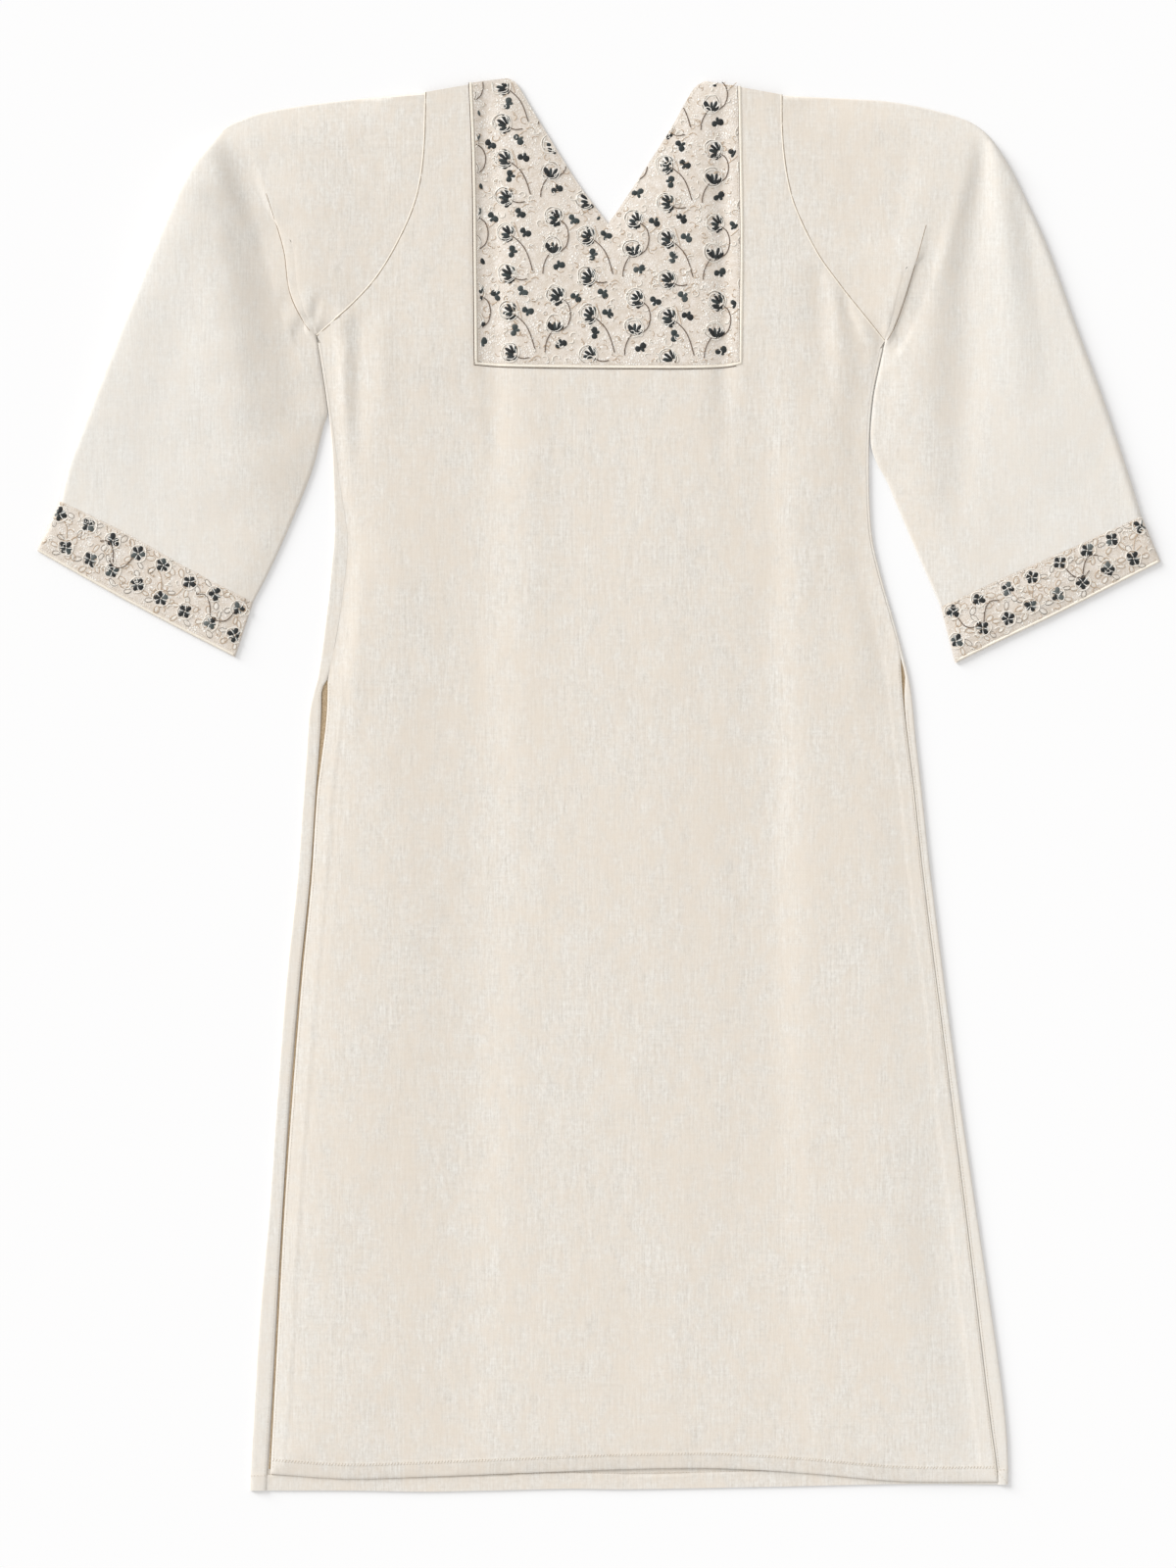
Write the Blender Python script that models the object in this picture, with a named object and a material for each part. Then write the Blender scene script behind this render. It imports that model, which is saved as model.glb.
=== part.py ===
"""Kurta tunic in slubbed linen, lying flat on its back.

The garment has a back and a front panel, an embroidered yoke with a piped edge round a V neckline,
two set-in sleeves and two embroidered cuffs.  +X is the wearer's left, +Y runs from hem to neck and
+Z is up.  The origin is under the middle of the garment, on the surface it lies on.
Tables and sizes are in millimetres; the meshes are in metres.
"""

import math

import bpy
from mathutils import Vector

# ---------------------------------------------------------------- driving sizes, in millimetres

MM = 0.001
CLOTH = 1.0            # wall of every cloth piece
SEAM_GAP = 0.3         # clearance between pieces that are sewn together
LAYER = CLOTH + SEAM_GAP
LOW = CLOTH / 2        # middle of a wall that rests on the surface
HIGH = LOW + LAYER     # middle of a wall that rests on another one
NOSE = LAYER / 2       # bend radius where cloth turns over on itself
ARMHOLE_GAP = 0.4      # sleeve beside the body's panels

CROWN = 1.3            # how far the upper layer stands up away from its edges
CROWN_REACH = 14.0     # distance over which it rises
CROWN_POWER = 1.5      # how softly it starts to rise
EDGE_SPACING = 8.0     # between the edge points that the rise is measured from
NECK_SETBACK = 1.5     # back neckline hidden behind the front one

PIPING_WIDTH = 2.6
PIPING_HEIGHT = 2.2
PIPING_SIDES = 8

SHARP_DEGREES = 50     # edges that turn more than this are shaded sharp

BODY_ROWS = (13, 8, 4, 6)    # hem to slit, slit to yoke, yoke to V, V to shoulder
SLIT_ROW = BODY_ROWS[0]
YOKE_ROW = SLIT_ROW + BODY_ROWS[1]
VEE_ROW = YOKE_ROW + BODY_ROWS[2]
TOP_ROW = VEE_ROW + BODY_ROWS[3]
FRONT_COLUMNS = (5, 7)       # centre to yoke edge, yoke edge to side
BACK_COLUMNS = 6
HEM_ROWS = 5                 # rows over which the hem's curve fades

TUCK_LIFT = 2 * LAYER        # height of the sleeve's fold: two more layers
TUCK_RUN = 8.0               # cloth length of the fold where it lies open
TUCK_OVERLAP = (1.0, 7.0)    # least and greatest overlap
TUCK_BACK = 3.0              # level cloth behind the fold
TUCK_FRONT = 5.0             # and before it
TUCK_LENGTH = TUCK_BACK + TUCK_RUN + TUCK_FRONT
TUCK_STEPPED = 0.25          # folded this far, the cloth steps down over its run
TUCK_UPRIGHT = 0.5           # folded this far, it drops straight down, and beyond it overlaps
TUCK_ARC = (90.0, 30.0, -30.0, -90.0)    # degrees round each turn of the fold
TUCK_FADE = 30               # how soon the fold leaves the sleeve's own edges

ARMHOLE_STATIONS = 5         # armhole to fold
SLEEVE_STATIONS = 9          # fold to cuff
CUFF_STATIONS = 3
NEARBY = 0.025               # share of a line over which its direction is read
LOWER_SHARES = (0.8, 0.5, 0.2)           # places across the lower layer of a sleeve

# ---------------------------------------------------------------- outline tables, in millimetres

# Body sides, hem to underarm.
#      along   back edge  turned-over edge  front edge
RIGHT_SIDE = (
    (-590.0, -292.0, -278.5, -275.0),
    (-576.0, -291.5, -278.0, -274.5),
    (-524.0, -288.5, -274.5, -271.8),
    (-450.0, -284.0, -270.5, -267.8),
    (-352.0, -275.5, -264.5, -262.5),
    (-253.0, -268.5, -258.5, -255.5),
    (-155.0, -260.5, -249.8, -247.5),
    (-81.0, -252.5, -242.0, -240.3),
    (-7.0, -247.0, -237.0, -235.4),
    (26.0, -244.5, -234.0, -231.8),
    (61.0, -242.0, -232.0, -228.3),
    (88.0, -235.5, -227.0, -226.2),
    (124.0, -230.0, -219.5, -219.0),
    (154.0, -226.5, -214.8, -214.3),
    (185.0, -223.3, -211.0, -210.5),
    (209.0, -221.3, -210.3, -209.8),
    (259.0, -222.0, -217.5, -217.0),
    (294.0, -224.0, -221.6, -221.1),
    (339.0, -230.0, -227.7, -227.2),
    (376.0, -236.0, -233.7, -233.2),
)
LEFT_SIDE = (
    (-585.0, 342.3, 334.0, 332.3),
    (-565.0, 342.2, 332.3, 330.6),
    (-540.0, 341.0, 328.8, 326.6),
    (-491.0, 335.5, 322.8, 320.2),
    (-368.0, 317.5, 308.3, 306.5),
    (-245.0, 299.5, 292.8, 290.8),
    (-73.0, 277.5, 271.2, 269.2),
    (1.0, 269.5, 263.4, 261.2),
    (45.0, 264.5, 259.0, 256.5),
    (78.0, 261.0, 256.2, 253.8),
    (107.0, 255.0, 252.4, 251.6),
    (140.0, 246.0, 243.6, 243.1),
    (173.0, 236.5, 234.1, 233.6),
    (209.0, 228.5, 226.1, 225.6),
    (259.0, 226.0, 223.6, 223.1),
    (303.0, 227.0, 224.6, 224.1),
    (330.0, 230.0, 227.6, 227.1),
    (371.0, 239.0, 236.6, 236.1),
)

# Armhole seams, underarm to shoulder.
#      across  along
RIGHT_ARMHOLE = (
    (-236.0, 376.0), (-209.0, 400.0), (-186.0, 425.0), (-166.0, 459.0),
    (-153.0, 491.0), (-147.0, 526.0), (-145.0, 579.0),
)
LEFT_ARMHOLE = (
    (239.0, 371.0), (218.5, 396.0), (199.5, 420.0), (181.5, 446.0),
    (163.5, 484.0), (156.5, 512.0), (153.0, 545.0), (152.5, 577.0),
)

# Neckline, lower point of the V to shoulder.
NECK_POINT = (8.0, 469.0)
RIGHT_NECK = (
    NECK_POINT, (-16.0, 501.0), (-37.0, 534.0), (-57.0, 567.0), (-70.0, 588.0), (-76.0, 591.0),
)
LEFT_NECK = (NECK_POINT, (19.0, 485.0), (40.0, 517.0), (61.0, 550.0), (80.0, 583.0), (89.0, 588.5))

# Centre line and yoke edges, hem to shoulder.
CENTRE_LINE = ((12.0, -590.0), (11.0, 349.0), NECK_POINT)
RIGHT_YOKE_EDGE = (
    (-112.0, -590.0), (-103.0, 0.0), (-101.0, 354.0), (-102.0, 457.0), (-103.0, 525.0), (-105.5, 588.0),
)
LEFT_YOKE_EDGE = (
    (142.0, -590.0), (122.0, 0.0), (117.0, 354.0), (118.0, 457.0), (117.0, 532.0), (116.0, 585.0),
)

# Hems, right to left.
FRONT_HEM = (
    (-275.0, -576.0), (-212.0, -580.0), (-163.0, -579.0), (-58.0, -575.0), (17.0, -572.0),
    (90.0, -571.0), (138.0, -573.0), (181.0, -576.0), (252.0, -582.0), (332.3, -582.5),
)
BACK_HEM = (
    (-292.0, -590.0), (-210.0, -590.0), (-148.0, -591.0), (-91.0, -590.0), (-24.0, -588.5),
    (20.0, -589.0), (138.0, -587.0), (261.0, -584.5), (342.3, -585.0),
)

# Sleeves.  The fold line is the visible edge of the tuck that starts at the underarm.
RIGHT_SLEEVE = {
    "side": "right",
    "fold": (
        (-245.0, 385.0), (-255.0, 403.0), (-259.5, 418.0), (-263.0, 446.0),
        (-273.0, 480.0), (-288.0, 525.0), (-297.0, 557.0),
    ),
    "over": ((-200.0, 574.0), (-255.0, 567.0), (-286.0, 561.0), (-297.0, 557.0)),
    "outer": (
        (-297.0, 557.0), (-312.0, 550.0), (-329.0, 534.0), (-344.0, 515.0), (-359.0, 485.0),
        (-380.0, 435.0), (-406.0, 370.0), (-431.0, 304.0), (-444.0, 268.0), (-451.0, 238.0),
    ),
    "inner": (
        (-230.8, 339.0), (-227.6, 320.0), (-227.4, 309.0), (-230.5, 300.0),
        (-240.0, 262.0), (-260.0, 213.0), (-276.0, 178.0), (-289.0, 153.0),
    ),
    "cuff seam": ((-289.0, 153.0), (-345.0, 182.0), (-390.0, 208.0), (-451.0, 238.0)),
    "cuff hem": ((-304.0, 107.0), (-355.0, 133.0), (-406.0, 160.0), (-470.0, 196.0)),
}
LEFT_SLEEVE = {
    "side": "left",
    "fold": (
        (246.0, 381.0), (252.5, 397.0), (262.0, 427.0), (273.0, 467.0),
        (280.0, 490.0), (288.0, 516.0), (297.0, 560.0),
    ),
    "over": ((182.0, 575.5), (212.0, 574.0), (241.0, 572.0), (270.0, 567.0), (297.0, 560.0)),
    "outer": (
        (297.0, 560.0), (312.0, 554.0), (327.0, 542.0), (344.0, 517.0), (360.0, 485.0),
        (375.0, 452.0), (399.0, 386.0), (423.0, 321.0), (445.0, 255.0), (454.0, 225.0),
    ),
    "inner": (
        (230.9, 330.0), (228.6, 312.0), (229.0, 300.0), (234.0, 279.0), (244.0, 259.0),
        (253.0, 237.0), (262.0, 199.0), (270.0, 180.0), (286.0, 149.0),
    ),
    "cuff seam": ((286.0, 149.0), (340.0, 174.0), (398.0, 199.5), (454.0, 225.0)),
    "cuff hem": ((298.0, 102.0), (338.0, 121.5), (379.0, 141.0), (470.0, 187.0)),
}

# Soft folds of the upper layer.
#   start across, along   end across, along   half width  height (a trough is negative)
FOLDS = (
    ((-98.0, 330.0), (-94.0, -440.0), 34.0, -1.2),
    ((-152.0, 290.0), (-176.0, -430.0), 40.0, 0.8),
    ((20.0, 300.0), (16.0, -480.0), 80.0, 0.5),
    ((128.0, 285.0), (148.0, -420.0), 30.0, -1.3),
    ((165.0, 280.0), (204.0, -400.0), 42.0, 0.7),
    ((-206.0, 395.0), (-208.0, 262.0), 16.0, 0.9),
    ((204.0, 410.0), (203.0, 300.0), 16.0, 0.9),
    ((-314.0, 534.0), (-282.0, 330.0), 20.0, 1.3),
    ((-287.0, 500.0), (-250.0, 310.0), 16.0, -0.9),
    ((-330.0, 500.0), (-352.0, 300.0), 18.0, -0.6),
    ((307.0, 517.0), (318.0, 320.0), 17.0, -1.1),
    ((334.0, 521.0), (352.0, 310.0), 20.0, 1.3),
    ((286.0, 480.0), (274.0, 330.0), 16.0, 0.9),
)
FOLD_END = 60.0        # distance over which a fold dies out at each end

# The sleeve's tuck across the sleeve, underarm to shoulder.
#   share across, how far it is folded
TUCK = (
    (0.00, 0.00), (0.04, 0.08), (0.08, 0.18), (0.12, 0.32), (0.16, 0.50), (0.21, 0.80), (0.27, 1.00),
    (0.36, 0.90), (0.45, 0.75), (0.55, 0.50), (0.66, 0.25), (0.78, 0.12), (0.89, 0.05), (1.00, 0.00),
)

# sRGB colour, roughness
FINISHES = {
    "linen": ((0.905, 0.875, 0.835), 0.92),
    "embroidered": ((0.885, 0.845, 0.795), 0.88),
    "piping": ((0.925, 0.895, 0.845), 0.85),
}


# ---------------------------------------------------------------- lines and heights

class Path:
    """A smooth line through a few points, read by its share of the length or by its place along Y."""

    STEPS = 12

    def __init__(self, points, straight=False):
        knots = [Vector(point) for point in points]
        self.points = [knots[0]]
        if straight:
            self.points = knots
        else:
            for i in range(len(knots) - 1):
                self.points += self._span(knots, i)
        self.reach = [0.0]
        for a, b in zip(self.points, self.points[1:]):
            self.reach.append(self.reach[-1] + (b - a).length)

    def _tangent(self, knots, i):
        before = knots[max(i - 1, 0)]
        after = knots[min(i + 1, len(knots) - 1)]
        here = knots[i]
        run = (here - before).length + (after - here).length
        return (after - before) / run

    def _span(self, knots, i):
        a, b = knots[i], knots[i + 1]
        length = (b - a).length
        start = self._tangent(knots, i) * length
        end = self._tangent(knots, i + 1) * length
        found = []
        for step in range(1, self.STEPS + 1):
            t = step / self.STEPS
            u = 1 - t
            place = a * (u * u * (1 + 2 * t)) + b * (t * t * (3 - 2 * t))
            found.append(place + start * (t * u * u) - end * (t * t * u))
        return found

    def length(self):
        return self.reach[-1]

    def at(self, share):
        """The point at a share of the length."""
        wanted = min(max(share, 0.0), 1.0) * self.reach[-1]
        i = 1
        while i < len(self.reach) - 1 and self.reach[i] < wanted:
            i += 1
        span = self.reach[i] - self.reach[i - 1]
        return self.points[i - 1].lerp(self.points[i], (wanted - self.reach[i - 1]) / span)

    def across(self, along):
        """The X of the line at a Y, on a line that runs one way along Y."""
        for a, b in zip(self.points, self.points[1:]):
            if min(a.y, b.y) <= along <= max(a.y, b.y) and a.y != b.y:
                return a.x + (b.x - a.x) * (along - a.y) / (b.y - a.y)
        ends = (self.points[0], self.points[-1])
        return min(ends, key=lambda end: abs(end.y - along)).x

    def along(self, across):
        """The Y of the line at an X, on a line that runs one way along X."""
        for a, b in zip(self.points, self.points[1:]):
            if min(a.x, b.x) <= across <= max(a.x, b.x) and a.x != b.x:
                return a.y + (b.y - a.y) * (across - a.x) / (b.x - a.x)
        ends = (self.points[0], self.points[-1])
        return min(ends, key=lambda end: abs(end.x - across)).y


def smooth_step(value):
    """0 below 0, 1 above 1, and smooth between."""
    t = min(max(value, 0.0), 1.0)
    return t * t * (3 - 2 * t)


def side_path(table, column):
    """One edge of a body side, from its table."""
    return Path([(row[column], row[0]) for row in table])


# Places on the body's own rows, which the panels and the sleeves share at the armhole.
SIDES = {
    "right": {
        "out": -1.0, "side": RIGHT_SIDE, "armhole": RIGHT_ARMHOLE,
        "neck": RIGHT_NECK, "yoke": RIGHT_YOKE_EDGE,
        "levels": (88.0, 376.0, 465.0, 579.0), "yoke levels": (92.0, 354.0, 464.0, 587.0),
    },
    "left": {
        "out": 1.0, "side": LEFT_SIDE, "armhole": LEFT_ARMHOLE,
        "neck": LEFT_NECK, "yoke": LEFT_YOKE_EDGE,
        "levels": (107.0, 371.0, 465.0, 577.0), "yoke levels": (103.0, 354.0, 464.0, 584.0),
    },
}


def guide_rows(paths, levels, counts):
    """Points up a body panel: one path and one pair of levels for each stretch of rows."""
    found = []
    for path, low, high, count in zip(paths, levels, levels[1:], counts):
        for i in range(count):
            along = low + (high - low) * i / count
            found.append(Vector((path.across(along), along)))
    found.append(Vector((paths[-1].across(levels[-1]), levels[-1])))
    return found


def armhole_line(side):
    """The sleeve's edge at the armhole: the body's own points, moved out by the seam gap."""
    armhole = Path(SIDES[side]["armhole"])
    places = guide_rows((armhole, armhole), SIDES[side]["levels"][1:], BODY_ROWS[2:])
    moved = []
    for i, place in enumerate(places):
        along = (places[min(i + 1, len(places) - 1)] - places[max(i - 1, 0)]).normalized()
        moved.append(place + Vector((-along.y, along.x)) * -SIDES[side]["out"] * ARMHOLE_GAP)
    return moved


def free_edges():
    """Points along every edge where the upper layer ends."""
    lines = [FRONT_HEM]
    lines += [[(row[3], row[0]) for row in table] for table in (RIGHT_SIDE, LEFT_SIDE)]
    for sleeve in (RIGHT_SLEEVE, LEFT_SLEEVE):
        lines += [sleeve[edge] for edge in ("over", "outer", "inner", "cuff hem")]
        lines.append((sleeve["cuff hem"][0], sleeve["cuff seam"][0]))
        lines.append((sleeve["cuff hem"][-1], sleeve["cuff seam"][-1]))
    lines += [RIGHT_NECK, LEFT_NECK]
    found = []
    for line in lines:
        path = Path(line)
        count = max(int(path.length() / EDGE_SPACING), 2)
        found += [path.at(i / count) for i in range(count + 1)]
    return found


EDGE_POINTS = free_edges()


def fold_height(place):
    """Height that the soft folds add at a place."""
    total = 0.0
    for start, end, half_width, height in FOLDS:
        start, end = Vector(start), Vector(end)
        line = end - start
        run = line.length
        forward = (place - start).dot(line) / run
        sideways = (place - start).cross(line) / run
        start_fade = smooth_step((forward + FOLD_END) / FOLD_END)
        end_fade = smooth_step((run + FOLD_END - forward) / FOLD_END)
        total += height * start_fade * end_fade * math.exp(-((sideways / half_width) ** 2))
    return total


def upper_height(place):
    """Middle height of the upper layer at a place: low at its edges, crowned and folded inside."""
    edge = min((place - point).length for point in EDGE_POINTS)
    rise = 1 - math.exp(-((edge / CROWN_REACH) ** CROWN_POWER))
    return HIGH + max((CROWN + fold_height(place)) * rise, 0.0)


# ---------------------------------------------------------------- making pieces

class Sheet:
    """The middle surface of one cloth piece: named points and four-sided faces."""

    def __init__(self):
        self.index = {}
        self.points = []
        self.faces = []

    def put(self, key, place, height):
        self.index[key] = len(self.points)
        self.points.append((place[0] * MM, place[1] * MM, height * MM))

    def face(self, *keys):
        """A face; one with a shared corner becomes a triangle, and one with a shared side is left out."""
        corners = []
        for key in keys:
            if self.index[key] not in corners:
                corners.append(self.index[key])
        if len(corners) > 2:
            self.faces.append(corners)

    def join(self, first, second, closed=False):
        """Faces between two rows of keys."""
        count = len(first) if closed else len(first) - 1
        for i in range(count):
            j = (i + 1) % len(first)
            self.face(first[i], first[j], second[j], second[i])


def finish(mesh_object, finish_name):
    """Gives an object its own material and smooth shading."""
    colour, roughness = FINISHES[finish_name]
    material = bpy.data.materials.new(mesh_object.name)
    material.use_nodes = True
    shader = material.node_tree.nodes["Principled BSDF"]
    linear = [((c + 0.055) / 1.055) ** 2.4 for c in colour]
    shader.inputs["Base Color"].default_value = (*linear, 1.0)
    shader.inputs["Roughness"].default_value = roughness
    shader.inputs["Metallic"].default_value = 0.0
    mesh_object.data.materials.append(material)
    mesh_object.data.shade_smooth()
    mesh_object.data.set_sharp_from_angle(angle=math.radians(SHARP_DEGREES))


def add_object(name, points, faces):
    mesh = bpy.data.meshes.new(name)
    mesh.from_pydata(points, [], faces)
    made = bpy.data.objects.new(name, mesh)
    bpy.context.collection.objects.link(made)
    return made


def make_cloth(name, sheet, finish_name):
    """Turns a middle surface into a wall of cloth."""
    made = add_object(name, sheet.points, sheet.faces)
    finish(made, finish_name)
    wall = made.modifiers.new("wall", "SOLIDIFY")
    wall.thickness = CLOTH * MM
    wall.offset = 0.0
    return made


# ---------------------------------------------------------------- body panels

CENTRE_LEVELS = (98.0, 349.0)    # slit's top and yoke's lower edge on the centre line


def panel_half(side, edge_column, hem, columns, setback=0.0):
    """Rows of places from the centre to the edge of one half of a body panel.

    columns holds the spans from the centre to the yoke's edge and from there to the side, or the
    spans of a half that takes no notice of the yoke.
    """
    parts = SIDES[side]
    hem = Path(hem)
    out = parts["out"]
    centre = Path(CENTRE_LINE)
    neck = Path([(x + out * setback, y - setback) for x, y in parts["neck"]])
    neck_point = NECK_POINT[1] - setback
    neck_top = parts["neck"][-1][1] - setback
    neck_levels = (hem.along(CENTRE_LINE[0][0]), *CENTRE_LEVELS, neck_point, neck_top)
    edge = side_path(parts["side"], edge_column)
    armhole = Path(parts["armhole"])
    yoke = Path(parts["yoke"])
    guides = [guide_rows((centre, centre, centre, neck), neck_levels, BODY_ROWS)]
    if len(columns) == 2:
        yoke_levels = (hem.along(yoke.points[0].x), *parts["yoke levels"])
        guides.append(guide_rows((yoke, yoke, yoke, yoke), yoke_levels, BODY_ROWS))
    edge_levels = (hem.along(edge.points[0].x), *parts["levels"])
    guides.append(guide_rows((edge, edge, armhole, armhole), edge_levels, BODY_ROWS))
    rows = []
    for row in range(TOP_ROW + 1):
        places = [guides[0][row]]
        for inner, outer, count in zip(guides, guides[1:], columns):
            places += [inner[row].lerp(outer[row], i / count) for i in range(1, count + 1)]
        rows.append(places)
    for row in range(HEM_ROWS):
        fade = (1 - row / HEM_ROWS) ** 2
        for place, lowest in zip(rows[row], [point.copy() for point in rows[0]]):
            place.y += (hem.along(lowest.x) - lowest.y) * fade
    return rows


def panel_key(side, row, column):
    """Both halves share the centre line below the V."""
    if column == 0 and row <= VEE_ROW:
        return ("centre", row)
    return (side, row, column)


def join_rows(sheet, side, rows):
    """Faces of one half, upper side up."""
    for first, second in zip(rows, rows[1:]):
        length = min(len(first), len(second))
        first, second = first[:length], second[:length]
        if side == "right":
            first, second = first[::-1], second[::-1]
        sheet.join(first, second)


def front_places(side):
    return panel_half(side, 3, FRONT_HEM, FRONT_COLUMNS)


def make_front():
    sheet = Sheet()
    for side in SIDES:
        keys = []
        for row, places in enumerate(front_places(side)):
            keys.append([panel_key(side, row, column) for column in range(len(places))])
            for key, place in zip(keys[-1], places):
                if key not in sheet.index:
                    sheet.put(key, place, upper_height(place))
        join_rows(sheet, side, keys)
    return make_cloth("front", sheet, "linen")


def make_back():
    """The back panel with its sides turned up and over to the front, as seam and slit hems."""
    sheet = Sheet()
    for side in SIDES:
        parts = SIDES[side]
        out = parts["out"]
        turned = side_path(parts["side"], 2)
        rows = panel_half(side, 1, BACK_HEM, (BACK_COLUMNS,), NECK_SETBACK)
        keys = []
        for row, places in enumerate(rows):
            edge = places[-1].copy()
            if row < YOKE_ROW:
                places[-1] = edge - Vector((out * (LOW + NOSE), 0))
            keys.append([panel_key(side, row, column) for column in range(len(places))])
            for key, place in zip(keys[-1], places):
                if key not in sheet.index:
                    sheet.put(key, place, LOW)
            if row < YOKE_ROW:
                strip = (
                    ("nose", edge.x - out * LOW, LOW + NOSE),
                    ("turned", edge.x - out * (LOW + NOSE), HIGH),
                    ("turned edge", turned.across(edge.y), HIGH),
                )
                for part, across, height in strip:
                    keys[-1].append((side, row, part))
                    sheet.put(keys[-1][-1], (across, edge.y), height)
        join_rows(sheet, side, keys)
    return make_cloth("back", sheet, "linen")


# ---------------------------------------------------------------- yoke and its piping

def make_yoke():
    """A panel made from the front's own points, moved out by one layer."""
    sheet = Sheet()
    for side in SIDES:
        keys = []
        for row, places in enumerate(front_places(side)):
            if row < YOKE_ROW:
                continue
            places = places[:FRONT_COLUMNS[0] + 1]
            keys.append([panel_key(side, row, column) for column in range(len(places))])
            for key, place in zip(keys[-1], places):
                if key not in sheet.index:
                    sheet.put(key, place, upper_height(place) + LAYER)
        join_rows(sheet, side, keys)
    return make_cloth("yoke", sheet, "embroidered")


def piping_route():
    """Places along the yoke's edge, down the right side, across and up the left side."""
    edge = FRONT_COLUMNS[0]
    right, left = front_places("right"), front_places("left")
    route = [right[row][edge] for row in range(TOP_ROW, YOKE_ROW, -1)]
    route += [right[YOKE_ROW][column] for column in range(edge, -1, -1)]
    route += [left[YOKE_ROW][column] for column in range(1, edge + 1)]
    route += [left[row][edge] for row in range(YOKE_ROW + 1, TOP_ROW + 1)]
    return route


def make_piping():
    """A half-round cord that lies on the front just outside the yoke."""
    route = piping_route()
    clear = PIPING_WIDTH / 2 + SEAM_GAP
    points = []
    for i, place in enumerate(route):
        before = (place - route[i - 1]).normalized() if i > 0 else None
        after = (route[i + 1] - place).normalized() if i < len(route) - 1 else None
        before, after = before or after, after or before
        outward = Vector((before.y + after.y, -before.x - after.x)).normalized()
        mitre = 1 / outward.dot(Vector((before.y, -before.x)))
        centre = place + outward * (clear * mitre)
        floor = upper_height(place) + LOW + SEAM_GAP
        for step in range(PIPING_SIDES):
            turn = math.tau * (step + 0.5) / PIPING_SIDES
            sideways = math.cos(turn) * PIPING_WIDTH / 2 * mitre
            height = floor + (1 + math.sin(turn) / math.cos(math.pi / PIPING_SIDES)) * PIPING_HEIGHT / 2
            spot = centre + outward * sideways
            points.append((spot.x * MM, spot.y * MM, height * MM))
    faces = [list(range(PIPING_SIDES))]
    for ring in range(len(route) - 1):
        for step in range(PIPING_SIDES):
            a = ring * PIPING_SIDES + step
            b = ring * PIPING_SIDES + (step + 1) % PIPING_SIDES
            faces.append([b, a, a + PIPING_SIDES, b + PIPING_SIDES])
    last = (len(route) - 1) * PIPING_SIDES
    faces.append([last + step for step in reversed(range(PIPING_SIDES))])
    made = add_object("yoke_piping", points, faces)
    finish(made, "piping")
    return made


# ---------------------------------------------------------------- sleeves and cuffs

class Stretch:
    """Part of a path, read by its share of that part."""

    def __init__(self, path, start, end):
        self.path = path
        self.start = start / path.length()
        self.end = end / path.length()

    def at(self, share):
        return self.path.at(self.start + (self.end - self.start) * share)


def inward(path, share, inside):
    """Unit vector from an edge into the sleeve."""
    ahead, behind = path.at(min(share + NEARBY, 1.0)), path.at(max(share - NEARBY, 0.0))
    along = (ahead - behind).normalized()
    normal = Vector((-along.y, along.x))
    return normal if normal.dot(inside - path.at(share)) > 0 else -normal


def patch(start, end, inner, outer, across, along):
    """A place inside four lines; the two side lines are met exactly."""
    first, last = start(0) * (1 - across) + start(1) * across, end(0) * (1 - across) + end(1) * across
    between = start(across) * (1 - along) + end(across) * along
    sides = inner(along) * (1 - across) + outer(along) * across
    return between + sides - first * (1 - along) - last * along


def open_distances():
    """Distances of the fold's stations past its visible edge, where it lies open."""
    first = -(NOSE + LOW)
    turns = 2 * len(TUCK_ARC)
    between = [first + TUCK_RUN * i / (turns - 1) for i in range(turns)]
    return [first - TUCK_BACK, *between, between[-1] + TUCK_FRONT]


def tuck_profile(folded):
    """Distances past the fold's visible edge and heights, along the cloth as it turns twice."""
    laid_open = open_distances()
    first = laid_open[1]
    step = [
        (distance, TUCK_LIFT * (1 - smooth_step((distance - first) / TUCK_RUN)))
        for distance in laid_open
    ]
    if folded <= TUCK_STEPPED:
        return [(distance, height * folded / TUCK_STEPPED) for distance, height in step]
    least, greatest = TUCK_OVERLAP
    overlap = least + (greatest - least) * max(folded - TUCK_UPRIGHT, 0.0) / (1 - TUCK_UPRIGHT)
    turned = [(first - overlap - TUCK_BACK, TUCK_LIFT)]
    for centre, height, way in ((first, TUCK_LIFT - NOSE, 1), (first - overlap, NOSE, -1)):
        for angle in TUCK_ARC:
            turn = math.radians(angle)
            turned.append((centre + way * NOSE * math.cos(turn), height + NOSE * math.sin(turn)))
    turned.append((turned[-1][0] + TUCK_FRONT, 0.0))
    mix = min((folded - TUCK_STEPPED) / (TUCK_UPRIGHT - TUCK_STEPPED), 1.0)
    return [
        (a[0] + (b[0] - a[0]) * mix, a[1] + (b[1] - a[1]) * mix)
        for a, b in zip(step, turned)
    ]


def tuck_share(laid_open):
    """Share of the fold's cloth that lies before a distance past its edge."""
    return (laid_open - open_distances()[0]) / TUCK_LENGTH


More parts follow.
